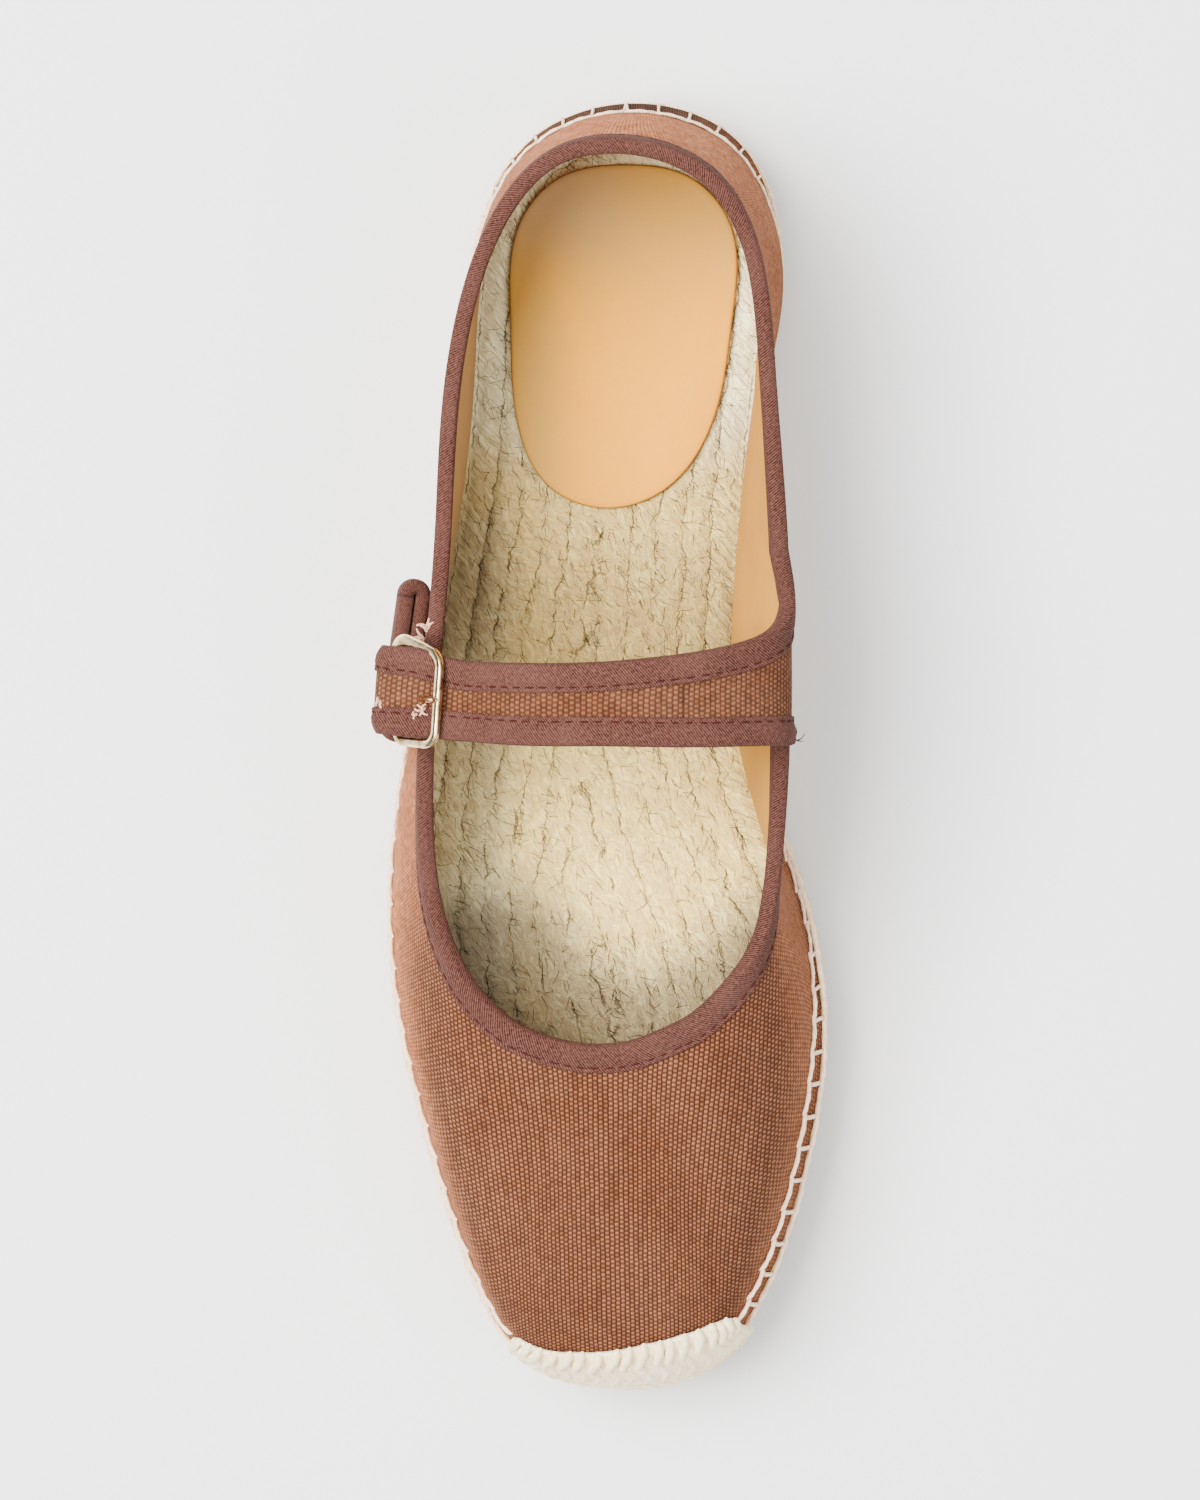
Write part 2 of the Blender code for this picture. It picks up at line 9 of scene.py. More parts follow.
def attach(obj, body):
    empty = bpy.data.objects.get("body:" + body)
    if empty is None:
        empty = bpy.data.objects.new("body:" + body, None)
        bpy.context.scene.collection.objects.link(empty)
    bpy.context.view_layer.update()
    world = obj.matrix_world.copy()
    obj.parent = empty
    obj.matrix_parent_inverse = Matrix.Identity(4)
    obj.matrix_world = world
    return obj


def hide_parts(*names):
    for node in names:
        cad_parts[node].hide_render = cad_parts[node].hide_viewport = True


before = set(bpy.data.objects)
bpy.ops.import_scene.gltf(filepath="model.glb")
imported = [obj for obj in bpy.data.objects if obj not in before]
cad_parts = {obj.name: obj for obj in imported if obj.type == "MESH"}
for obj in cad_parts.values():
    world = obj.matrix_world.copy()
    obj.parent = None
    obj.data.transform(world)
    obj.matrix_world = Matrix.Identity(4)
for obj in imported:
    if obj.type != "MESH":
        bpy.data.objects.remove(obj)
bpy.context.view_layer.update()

scene = bpy.context.scene
mm = 0.001
tiny = 0.01
dice = np.random.default_rng(12)
upward = np.array([0.0, 0.0, 1.0])

# sizes of the shoe in mm: toe towards -Y, inner side of the foot towards +X, back is measured from the heel
shoe = dict(
    length=249.4, rubber=4.0, soleTop=20.0, rubberInset=0.8, gap=0.3,
    toeSpring=6.5, springStart=172.0, springPower=1.8, archLift=1.0, archStart=68.0, archEnd=128.0,
    wall=1.4, featherInset=1.6, vampRun=55.0, wallRise=0.36, vampRise=0.74, wallDip=0.32, vampDip=0.14,
    reach=0.5, footRun=0.75, heelRun=1.35, footRise=0.08, footPower=1.5,
    fullness=2.2, fullAt=19.6, fullSpan=0.78, fullFrom=0.1, fullTo=0.12, fullFade=0.5,
)

# ribs of the upper: soleX, soleBack, topX, topBack, topZ, belly
ribTable = [
    (4.0, 0.0, 4.0, 11.2, 68.0, -2.5),        # heel
    (-16.3, 8.4, -9.8, 15.3, 67.2, -1.5),     # outer side, heel to toe
    (-25.6, 28.0, -20.2, 29.5, 64.5, 0.3),
    (-28.0, 56.0, -27.2, 56.0, 59.5, 1.5),
    (-31.8, 86.0, -29.3, 86.0, 57.3, 2.0),
    (-38.5, 122.0, -32.3, 122.0, 56.0, 2.0),
    (-42.3, 152.0, -31.8, 150.0, 52.5, 2.0),
    (-40.5, 178.0, -26.4, 165.8, 50.8, 1.6),
    (-34.2, 204.0, -19.6, 173.7, 50.0, 1.0),
    (-24.8, 230.0, -11.6, 178.5, 49.5, 0.5),
    (-17.0, 241.5, -5.5, 180.2, 49.2, 0.5),
    (3.2, 247.6, 1.2, 180.7, 49.1, 0.5),      # toe
    (23.4, 241.5, 7.8, 179.6, 49.2, 0.0),     # inner side, toe to heel
    (31.4, 230.0, 13.2, 177.4, 49.6, -1.5),
    (39.9, 204.0, 20.8, 172.8, 50.3, -2.8),
    (42.9, 178.0, 29.5, 163.0, 51.5, -3.0),
    (38.4, 152.0, 33.6, 150.0, 53.5, -2.0),
    (28.6, 122.0, 35.6, 122.0, 57.5, 0.0),
    (28.5, 86.0, 35.3, 86.0, 58.3, 0.0),
    (31.2, 56.0, 33.2, 56.0, 59.5, 0.5),
    (34.0, 28.0, 29.5, 29.0, 64.5, -0.5),
    (26.6, 8.0, 20.2, 16.0, 67.2, -2.0),
]
ribCount = len(ribTable)
toeRib, earRib, tailRib = 11, 17, 4.775


def ease(share):
    share = np.clip(share, 0.0, 1.0)
    return share * share * (3 - 2 * share)


def mix(low, high, share):
    return low + (high - low) * share


def unit(vectors):
    vectors = np.asarray(vectors, float)
    return vectors / np.maximum(np.linalg.norm(vectors, axis=-1, keepdims=True), 1e-9)


def along(back):
    return shoe["length"] / 2 - back


def curveThrough(rows, closed):
    # smooth curve through the rows, read at whole or broken row numbers
    points = np.array(rows, float)
    count = len(points)
    chain = np.vstack([points, points[:1]]) if closed else points
    steps = np.linalg.norm(np.diff(chain[:, :2], axis=0), axis=1)
    left = np.zeros((count, count))
    right = np.zeros_like(points)
    for i in range(count):
        if closed or 0 < i < count - 1:
            before, after = steps[i - 1], steps[i]
            last, following = (i - 1) % count, (i + 1) % count
            left[i, last] += 1 / before
            left[i, i] += 2 / before + 2 / after
            left[i, following] += 1 / after
            right[i] = 3 * (points[i] - points[last]) / before ** 2
            right[i] += 3 * (points[following] - points[i]) / after ** 2
        else:
            near = 1 if i == 0 else count - 2
            left[i, i] = 2
            left[i, near] = 1
            right[i] = 3 * (points[max(i, near)] - points[min(i, near)]) / steps[min(i, near)]
    slopes = np.linalg.solve(left, right)

    def at(number):
        number = np.asarray(number, float)
        row = np.floor(number).astype(int)
        if not closed:
            row = np.clip(row, 0, count - 2)
        f = (number - row)[..., None]
        row = row % count
        to = (row + 1) % count
        run = steps[row][..., None]
        bend = f * f * (3 - 2 * f)
        start = f * (1 - f) ** 2 * run
        end = f * f * (1 - f) * run
        return points[row] * (1 - bend) + points[to] * bend + slopes[row] * start - slopes[to] * end

    return at


ribAt = curveThrough(ribTable, True)


def toeLift(y):
    run = np.maximum(along(shoe["springStart"]) - y, 0.0) / (shoe["length"] - shoe["springStart"])
    return shoe["toeSpring"] * run ** shoe["springPower"]


def soleFloor(y):
    share = np.clip((along(shoe["archStart"]) - y) / (shoe["archEnd"] - shoe["archStart"]), 0, 1)
    return toeLift(y) + shoe["archLift"] * np.sin(math.pi * share) ** 2


def soleTop(y):
    return shoe["soleTop"] + toeLift(y)


def onSole(spot, lift):
    return np.column_stack([spot, soleTop(spot[:, 1]) + lift])


def outline(t, offset):
    # the sole's outline moved outwards, and its outward direction
    here = ribAt(t)
    slope = ribAt(np.asarray(t) + tiny) - ribAt(np.asarray(t) - tiny)
    outward = unit(np.stack([-slope[..., 1], -slope[..., 0]], -1))
    spot = np.stack([here[..., 0], along(here[..., 1])], -1)
    return spot + outward * np.asarray(offset, float)[..., None], outward


def upperPoint(t, v):
    # outer face of the upper: v is 0 at the sole and 1 at the top edge
    t, v = np.broadcast_arrays(np.asarray(t, float), np.asarray(v, float))
    rib = ribAt(t)
    foot, outward = outline(t, -shoe["featherInset"])
    head = np.stack([rib[..., 2], along(rib[..., 3])], -1)
    topZ = rib[..., 4]
    vamp = ease(np.linalg.norm(foot - head, axis=-1) / shoe["vampRun"])
    low = soleTop(foot[..., 1]) + shoe["gap"]
    height = topZ - low
    lowerZ = low + height * mix(shoe["wallRise"], shoe["vampRise"], vamp)
    upperZ = topZ - height * mix(shoe["wallDip"], shoe["vampDip"], vamp)
    w = 1 - v
    a, b, c, d = w ** 3, 3 * w * w * v, 3 * w * v * v, v ** 3
    plan = foot * a[..., None] + (foot + outward * rib[..., 5:6]) * b[..., None]
    plan = plan + mix(head, foot, shoe["reach"]) * c[..., None] + head * d[..., None]
    z = low * a + lowerZ * b + upperZ * c + topZ * d
    return np.concatenate([plan, z[..., None]], -1)


def ribsFrom(t, rib):
    # the shorter way round the shoe, in ribs
    return (np.asarray(t, float) - rib + ribCount / 2) % ribCount - ribCount / 2


def heelShare(t):
    return np.exp(-ribsFrom(t, 0) ** 2 / 2.0)


def canvasPoint(t, v):
    # the upper with its foot run out over the sole, most of all round the heel; the inner heel is fuller
    t, v = np.broadcast_arrays(np.asarray(t, float), np.asarray(v, float))
    full = shoe["fullness"] * np.exp(-((t - shoe["fullAt"]) / shoe["fullSpan"]) ** 2)
    full = full * ease(v / shoe["fullFrom"]) * (1 - ease((v - shoe["fullTo"]) / shoe["fullFade"]))
    foot = mix(shoe["footRun"], shoe["heelRun"], heelShare(t))
    foot = foot * np.clip(1 - v / shoe["footRise"], 0, 1) ** shoe["footPower"]
    points = upperPoint(t, v)
    points[..., :2] += outline(t, 0.0)[1] * (foot + full)[..., None]
    return points


def upperNormal(t, v):
    t, v = np.asarray(t, float), np.asarray(v, float)
    around = canvasPoint(t + tiny, v) - canvasPoint(t - tiny, v)
    rising = canvasPoint(t, np.minimum(v + tiny, 1)) - canvasPoint(t, np.maximum(v - tiny, 0))
    return unit(np.cross(around, rising))


# mesh helpers: points in mm, faces as index rows

def gridIndex(grid):
    return np.arange(grid.shape[0] * grid.shape[1]).reshape(grid.shape[:2])


def gridQuads(index, loopRows=False, loopColumns=False):
    a, b = index, np.roll(index, -1, 0)
    d, c = np.roll(a, -1, 1), np.roll(b, -1, 1)
    quads = np.stack([a, b, c, d], -1)
    if not loopRows:
        quads = quads[:-1]
    if not loopColumns:
        quads = quads[:, :-1]
    return quads.reshape(-1, 4)


def ringWall(rings):
    # faces through a stack of closed rings
    index = gridIndex(np.array(rings))
    return index, gridQuads(index.T, True).tolist()


def vertexNormals(points, quads):
    corner = points[quads]
    face = np.cross(corner[:, 2] - corner[:, 0], corner[:, 3] - corner[:, 1])
    total = np.zeros_like(points)
    for k in range(4):
        np.add.at(total, quads[:, k], face)
    return unit(total)


def openEdges(quads):
    # directed edges that only one face has
    size = quads.max() + 1
    start = quads.ravel()
    end = np.roll(quads, -1, 1).ravel()
    lone = ~np.isin(start * size + end, end * size + start)
    return start[lone], end[lone]


def shell(points, quads, outer, inner):
    # closed wall between two offsets of a sheet
    normal = vertexNormals(points, quads)
    count = len(points)
    start, end = openEdges(quads)
    rim = np.stack([end, start, start + count, end + count], -1)
    both = [points + normal * np.reshape(offset, (-1, 1)) for offset in (outer, inner)]
    return np.vstack(both), np.vstack([quads, quads[:, ::-1] + count, rim])


def pathFrames(path, lean, closed=False):
    ahead = np.roll(path, -1, 0) - np.roll(path, 1, 0)
    if not closed:
        ahead[0] = path[1] - path[0]
        ahead[-1] = path[-1] - path[-2]
    ahead = unit(ahead)
    side = unit(np.cross(ahead, np.broadcast_to(lean, path.shape)))
    return side, np.cross(side, ahead)


def roundRing(sides, size):
    angle = np.arange(sides) * math.tau / sides
    return np.stack([np.cos(angle) * size, np.sin(angle) * size], -1)


def sweep(path, lean, ring, closed=False):
    # tube of the given ring, one (k, 2) ring or one for each place of the path
    side, up = pathFrames(path, lean, closed)
    ring = np.broadcast_to(ring, (len(path), *np.shape(ring)[-2:]))
    points = path[:, None] + side[:, None] * ring[..., 0:1] + up[:, None] * ring[..., 1:2]
    index = gridIndex(points)
    faces = gridQuads(index, closed, True)[:, ::-1].tolist()
    if not closed:
        faces += [index[0].tolist(), index[-1, ::-1].tolist()]
    return points.reshape(-1, 3), faces


def runLength(path):
    return np.concatenate([[0], np.cumsum(np.linalg.norm(np.diff(path, axis=0), axis=-1))])


def readAlong(places, run, line):
    return np.stack([np.interp(places, run, axis) for axis in line.T], -1)


def join(pieces):
    points, faces, start = [], [], 0
    for part, quads in pieces:
        points.append(part)
        faces += [[i + start for i in face] for face in quads]
        start += len(part)
    return np.vstack(points), faces


def pairMap(across, down):
    return np.stack(np.broadcast_arrays(across, down), -1).reshape(-1, 2)


def searchTree(points, faces):
    return BVHTree.FromPolygons([Vector(p) for p in points], faces)


def addPiece(name, points, faces, look, slotName, nodes=(), maps=None):
    mesh = bpy.data.meshes.new(name)
    faces = faces.tolist() if isinstance(faces, np.ndarray) else faces
    mesh.from_pydata((np.asarray(points) * mm).tolist(), [], faces)
    mesh.update()
    mesh.shade_smooth()
    corner = np.empty(len(mesh.loops), int)
    mesh.loops.foreach_get("vertex_index", corner)
    for label, values in (maps or {}).items():
        layer = mesh.uv_layers.new(name=label)
        values = np.asarray(values, np.float32)
        if len(values) == len(mesh.vertices):
            values = values[corner]
        layer.data.foreach_set("uv", values.ravel())
    mesh.materials.append(look)
    piece = bpy.data.objects.new(name, mesh)
    scene.collection.objects.link(piece)
    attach(piece, "root")
    if nodes:
        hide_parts(*nodes)
    print("piece", name, len(mesh.polygons), "faces")


# shader helpers

class Wire:
    # a node's output: arithmetic with it adds math nodes to its tree
    def __init__(self, tree, socket):
        self.tree, self.socket = tree, socket

    def calc(self, step, a, b=0.0):
        return put(self.tree, "ShaderNodeMath", {0: a, 1: b}, operation=step)

    def step(self, name, other=0.0):
        return self.calc(name, self, other)

    def __add__(self, other):
        return self.calc("ADD", self, other)

    def __sub__(self, other):
        return self.calc("SUBTRACT", self, other)

    def __rsub__(self, other):
        return self.calc("SUBTRACT", other, self)

    def __mul__(self, other):
        return self.calc("MULTIPLY", self, other)

    def __truediv__(self, other):
        return self.calc("DIVIDE", self, other)

    def spread(self, low, high, toLow=0.0, toHigh=1.0):
        takes = {0: self, 1: low, 2: high, 3: toLow, 4: toHigh}
        return put(self.tree, "ShaderNodeMapRange", takes, interpolation_type="SMOOTHSTEP")

    def blend(self, a, b):
        return put(self.tree, "ShaderNodeMix", {0: self, 2: a, 3: b})

    def tints(self, a, b, way="MIX"):
        takes = {0: self, 6: a, 7: b}
        return put(self.tree, "ShaderNodeMix", takes, 2, data_type="RGBA", blend_type=way)

    def split(self):
        node = addNode(self.tree, "ShaderNodeSeparateXYZ", {0: self})
        return [Wire(self.tree, socket) for socket in node.outputs]

    def beside(self, second, third=0.0):
        return put(self.tree, "ShaderNodeCombineXYZ", {0: self, 1: second, 2: third})

    def stretch(self, sizes):
        return put(self.tree, "ShaderNodeVectorMath", {0: self, 1: sizes}, operation="MULTIPLY")

    def cloud(self, scale, detail=2.0, coarse=0.5):
        takes = {"Vector": self, "Scale": scale, "Detail": detail, "Roughness": coarse}
        return put(self.tree, "ShaderNodeTexNoise", takes)

    def cells(self, scale, feature="F1"):
        return put(self.tree, "ShaderNodeTexVoronoi", {"Vector": self, "Scale": scale}, feature=feature)

    def relief(self, distance, strength=1.0):
        takes = {"Strength": strength, "Distance": distance * mm, "Height": self}
        return put(self.tree, "ShaderNodeBump", takes)

    def fade(self, scale, low, high):
        takes = {"Place": self, "Scale": scale, "Low": low, "High": high}
        return useGroup(self.tree, fadeGroup, takes)["Mask"]

    def fibres(self, fine, length):
        return useGroup(self.tree, fibreGroup, {"Place": self, "Fine": fine, "Length": length})

    def grain(self, fine):
        return useGroup(self.tree, grainGroup, {"Place": self, "Fine": fine})


def tint(red, green, blue):
    share = np.array([red, green, blue]) / 255
    linear = np.where(share <= 0.04045, share / 12.92, ((share + 0.055) / 1.055) ** 2.4)
    return (*[float(c) for c in linear], 1.0)


def feed(socket, value):
    if isinstance(value, Wire):
        value.tree.links.new(value.socket, socket)
    else:
        socket.default_value = value


def addNode(tree, kind, takes, **settings):
    node = tree.nodes.new(kind)
    for key, value in settings.items():
        setattr(node, key, value)
    for key, value in takes.items():
        feed(node.inputs[key], value)
    return node


def put(tree, kind, takes, out=0, **settings):
    return Wire(tree, addNode(tree, kind, takes, **settings).outputs[out])


def newGroup(name, takes, gives):
    # an input without a number takes a place
    tree = bpy.data.node_groups.new(name, "ShaderNodeTree")
    for label, value in takes.items():
        kind = "NodeSocketVector" if value is None else "NodeSocketFloat"
        socket = tree.interface.new_socket(label, in_out="INPUT", socket_type=kind)
        if value is not None:
            socket.default_value = value
    for label in gives:
        tree.interface.new_socket(label, in_out="OUTPUT", socket_type="NodeSocketFloat")
    source = tree.nodes.new("NodeGroupInput").outputs
    take = {label: Wire(tree, source[label]) for label in takes}
    return tree, take, tree.nodes.new("NodeGroupOutput").inputs


def useGroup(tree, group, takes):
    node = addNode(tree, "ShaderNodeGroup", takes, node_tree=group)
    return {socket.name: Wire(tree, socket) for socket in node.outputs}


def makeWeave():
    # plain weave of fat warp threads over thin wefts, in mm of cloth
    takes = dict(Cloth=None, Warp=1.0, Weft=0.44, Slub=0.3)
    tree, take, give = newGroup("plainWeave", takes, ["Height", "Crown"])
    cloth = take["Cloth"]
    sway = (cloth.cloud(0.35) - 0.5) * take["Slub"]
    across, down, _ = cloth.split()
    u = across / take["Warp"] + sway
    v = down / take["Weft"] + sway
    warpThread = u.step("FLOOR")
    column = (u * math.pi).step("SINE").step("ABSOLUTE")
    phase = v - warpThread
    over = (phase * math.pi).step("COSINE") * 0.5 + 0.5
    warp = column.step("POWER", 0.9) * (over * 0.8 + 0.2)
    weft = (1.0 - over) * 0.42
    # each thread has its own shade, and fuzz breaks the crowns up
    own = (warpThread * 3.7).beside(v * 0.05).cloud(1.0) * 1.1 + 0.45
    dot = (phase * 0.5 + 0.5).step("FLOOR")
    chance = put(tree, "ShaderNodeTexWhiteNoise", {"Vector": warpThread.beside(dot)})
    fuzz = cloth.cloud(1.1, 3.0) * 0.9 + (chance * 0.55 + 0.25)
    crown = column.spread(0.05, 0.9) * (over.spread(0.1, 0.9) * 0.8 + 0.2)
    feed(give["Height"], warp.step("MAXIMUM", weft))
    feed(give["Crown"], crown * fuzz * own)
    return tree


def makeFade():
    # large soft patches
    tree, take, give = newGroup("softFade", dict(Place=None, Scale=0.05, Low=0.35, High=0.65), ["Mask"])
    patches = take["Place"].cloud(take["Scale"], 3.0, 0.55)
    feed(give["Mask"], patches.spread(take["Low"], take["High"]))
    return tree


def makeFibre():
    # hair-fine streaks that run along the second axis of the place
    tree, take, give = newGroup("fibre", dict(Place=None, Fine=5.0, Length=6.0), ["Height", "Shade"])
    x, y, z = take["Place"].split()
    place = x.beside(y / take["Length"], z)
    streak = place.cloud(take["Fine"], 3.0, 0.6)
    broad = place.cloud(take["Fine"] * 0.3)
    feed(give["Height"], streak)
    feed(give["Shade"], (streak * 0.6 + broad * 0.4).spread(0.3, 0.7))
    return tree


def makeGrain():
    # pebbled grain with a softer unevenness over it
    tree, take, give = newGroup("fineGrain", dict(Place=None, Fine=1.5), ["Height", "Shade"])
    soft = take["Place"].cloud(take["Fine"] * 0.25, 3.0)
    feed(give["Height"], soft * 0.7 + take["Place"].cells(take["Fine"]) * 0.3)
    feed(give["Shade"], soft.spread(0.3, 0.7))
    return tree


weaveGroup, fadeGroup, fibreGroup, grainGroup = makeWeave(), makeFade(), makeFibre(), makeGrain()


def newLook(name, finish):
    look = bpy.data.materials.new(name)
    look.use_nodes = True
    sockets = look.node_tree.nodes["Principled BSDF"].inputs
    for label, value in finish.items():
        sockets[label].default_value = value
    return look, look.node_tree, sockets


def mapPlace(tree, label):
    return put(tree, "ShaderNodeUVMap", {}, uv_map=label)


def shoePlace(tree):
    # place on the shoe in mm
    return put(tree, "ShaderNodeTexCoord", {}, "Object").stretch((1 / mm, 1 / mm, 1 / mm))


# canvas

canvas = dict(
    finish={"Roughness": 0.92, "Specular IOR Level": 0.02, "Sheen Weight": 0.04, "Sheen Roughness": 0.6,
            "Sheen Tint": tint(240, 205, 185)},
    warp=1.0, weft=0.442, strapWarp=1.06, strapWeft=0.47, slub=0.45, relief=0.22, bite=0.8,
    gapTint=tint(49, 24, 13), crownTint=tint(125, 82, 59),
    strapGap=tint(36, 20, 14), strapCrown=tint(90, 66, 54),
    # the washed colours show washed-out canvas, and painted sheen on the steep walls; the last tint darkens
    # old patches, the strap, and the painted shade on the foot round the heel
    washSheenGap=tint(168, 102, 66), washSheenCrown=tint(218, 146, 102), ageAndShadeTint=tint(200, 160, 120),
    # patches of wear: noise scale, and where it starts and ends
    specks=(0.6, 0.3, 0.75), patches=(0.05, 0.35, 0.7), mottles=(0.22, 0.35, 0.7),
    # the strap's share of darkening also goes on the painted shade of the canvas foot round the heel
    washSheenLeast=0.52, speckWash=0.8, patchAge=0.3, strapAgeAndFootShade=0.2, mottleAge=0.5,
)


def canvasLook(name, warp, weft):
    look, tree, sockets = newLook(name, canvas["finish"])
    cloth = mapPlace(tree, "cloth")
    # first channel: washed-out canvas, and painted sheen on the steep walls; second: the strap, and the
    # painted shade on the canvas foot round the heel, drawn in the strap's darker colours
    wash, belt, _ = mapPlace(tree, "tone").split()
    weave = useGroup(tree, weaveGroup, {"Cloth": cloth, "Warp": warp, "Weft": weft, "Slub": canvas["slub"]})
    washed = wash * (cloth.fade(*canvas["specks"]) * canvas["speckWash"] + canvas["washSheenLeast"])
    gapTint = washed.tints(belt.tints(canvas["gapTint"], canvas["strapGap"]), canvas["washSheenGap"])
    crownTint = washed.tints(belt.tints(canvas["crownTint"], canvas["strapCrown"]), canvas["washSheenCrown"])
    colour = weave["Crown"].tints(gapTint, crownTint)
    # old patches, the strap, the painted shade on the canvas foot round the heel and mottles of the washed
    # canvas darken the colour
    old = cloth.fade(*canvas["patches"]) * canvas["patchAge"] + belt * canvas["strapAgeAndFootShade"]
    old = old + cloth.fade(*canvas["mottles"]) * wash * canvas["mottleAge"]
    feed(sockets["Base Color"], old.tints(colour, canvas["ageAndShadeTint"], "MULTIPLY"))
    feed(sockets["Normal"], weave["Height"].relief(canvas["relief"], canvas["bite"]))
    return look


canvasMaterial = canvasLook("washedCanvas", canvas["warp"], canvas["weft"])
strapCanvasMaterial = canvasLook("strapCanvas", canvas["strapWarp"], canvas["strapWeft"])

lining = dict(
    finish={"Roughness": 0.6, "Specular IOR Level": 0.12}, grain=2.2, relief=0.05, outerSide=(-24.0, -8.0),
    patches=(0.06, 0.35, 0.7), patchShare=0.6, grainShare=0.2,
    # the last tint is the painted shade of the outer side
    colour=tint(184, 130, 52), shade=tint(168, 116, 46), paintedShade=tint(150, 126, 88),
)


def liningLook():
    look, tree, sockets = newLook("tanLining", lining["finish"])
    place = shoePlace(tree)
    grain = place.grain(lining["grain"])
    colour = (place.fade(*lining["patches"]) * lining["patchShare"]).tints(lining["colour"], lining["shade"])
    colour = (grain["Shade"] * lining["grainShare"]).tints(colour, lining["shade"])
    # painted shade: the lining on the outer side, where the outer wall shades it, is duller
    outerSide = place.split()[0].spread(*lining["outerSide"], 1.0, 0.0)
    feed(sockets["Base Color"], outerSide.tints(colour, lining["paintedShade"]))
    feed(sockets["Normal"], grain["Height"].relief(lining["relief"]))
    return look


liningMaterial = liningLook()

tape = dict(
    finish={"Roughness": 0.85, "Specular IOR Level": 0.04, "Sheen Weight": 0.05, "Sheen Roughness": 0.5,
            "Sheen Tint": tint(225, 185, 175)},
    flap=4.4, innerShare=0.72, lift=0.88, stitchDepth=0.95, foldOut=0.3, foldRound=0.8, hold=0.03, core=0.05,
    least=0.3, twill=0.52, lay=0.7, sway=0.3, relief=0.08, foldAngles=range(20, 180, 20),
    ridgeShare=0.3, speckShare=0.72, speckRelief=0.6, contrast=(0.22, 0.82),
    dusty=(0.08, 0.4, 0.75), dustShare=0.25,
    dark=tint(25, 10, 8), light=tint(97, 62, 53), dust=tint(96, 65, 57),
)


def tapeLook():
    look, tree, sockets = newLook("twillTape", tape["finish"])
    place = mapPlace(tree, "cloth")
    run, across, _ = place.split()
    slant = across * tape["lay"] + (place.cloud(0.8) * tape["sway"] + run)
    ridge = (slant * (math.tau / tape["twill"])).step("SINE") * 0.5 + 0.5
    speck = place.cloud(1.7, 2.0, 0.6)
    share = (ridge * tape["ridgeShare"] + speck * tape["speckShare"]).spread(*tape["contrast"])
    colour = share.tints(tape["dark"], tape["light"])
    dusty = place.fade(*tape["dusty"]) * tape["dustShare"]
    feed(sockets["Base Color"], dusty.tints(colour, tape["dust"]))
    feed(sockets["Normal"], (speck * tape["speckRelief"] + ridge).relief(tape["relief"]))
    return look


tapeMaterial = tapeLook()

thread = dict(
    finish={"Roughness": 0.9, "Specular IOR Level": 0.05}, pitch=2.7, dash=2.0, backDash=0.3, radius=0.18,
    seat=0.36, sink=0.22, backSink=0.1, lift=0.1, stray=0.12, vary=(0.9, 1.1),
    steps=7, sides=6, thin=0.55, arch=0.6, fine=6.0,
    colour=tint(62, 26, 23), shade=tint(44, 17, 15),
)


def threadLook():
    look, tree, sockets = newLook("plumThread", thread["finish"])
    fibres = shoePlace(tree).fibres(thread["fine"], 1.0)
    feed(sockets["Base Color"], fibres["Shade"].tints(thread["shade"], thread["colour"]))
    return look


threadMaterial = threadLook()

jute = dict(
    finish={"Roughness": 0.9, "Specular IOR Level": 0.05}, relief=0.26, bite=0.9,
    border=3.0, pitch=5.2, valley=-0.95, innerValley=0.4, crest=0.2, rim=-0.2, slope=0.95,
    strand=2.3, strandLift=0.12, borderLift=1.8, ring=960, columns=124, levels=26,
    sideRows=2, sideDepth=1.1, sideStrand=5.4, sideStrandLift=0.5, sideLean=0.55, sideMap=-20.0, sideRun=0.7,
    sideSharp=0.6, swellSharp=0.7, sideMean=0.75, ridgeSharp=0.5, strandMean=0.6,
    topFrom=-5.0, smooth=14, smoothFrom=7.0, batch=4000, seamWide=0.07, inset=0.4, scatter=0.4, seamPull=5.0,
    # how the turns wander: noise scale, seed, size, start and run of its growth from the edge
    wander=((0.09, 3.0, 1.3, 6, 6), (0.35, 7.0, 0.8, 5, 3)),
    # unevenness of the top: noise scale and seed
    matted=0.2, mats=((0.55, 9.0), (0.25, 5.0)),
    # fibres in the matted part: direction in degrees, fineness, length
    lays=((-38.0, 2.6, 9.0), (-14.0, 2.8, 7.0), (-72.0, 2.8, 7.0)), combed=(2.0, 4.0),
    # the sides of the sole get a fixed share of the painted light
    fades=(0.09, 0.35, 0.7), fadeShare=0.35, gritShare=0.25, contrast=(0.12, 0.85), sideLightShare=0.5,
    # the grooves between the border's strands are darkened as painted shade
    seamSway=0.26, seamShare=0.8, strongSeam=0.85, strongWide=0.3, crackSway=1.4, grooveShadeShare=0.34,
    # zones of painted shade and painted light, in mm on the shoe, and how much
    bowlX=8.0, bowlY=-14.0, bowlWide=34.0, bowlLong=46.0, frontZone=(-36.0, -16.0), outerZone=(-24.0, -14.0),
    outerEnd=(40.0, 60.0), waistZone=(-4.0, 16.0), waistEnd=(28.0, 46.0), heelEnd=(50.0, 75.0),
    heelZone=(48.0, 66.0), frontDull=0.9, outerDull=0.47, waistDull=0.66, waistLess=0.26, heelLess=0.4,
    outerPlain=1.1, frontPlain=0.6,
    light=tint(255, 250, 196), middle=tint(234, 214, 168), dark=tint(210, 190, 148), seam=tint(46, 36, 24),
    # the gold tint is painted light on the lit top, the dull tint painted shade
    paintedLightTint=tint(255, 234, 185), dull=tint(129, 124, 129),
)


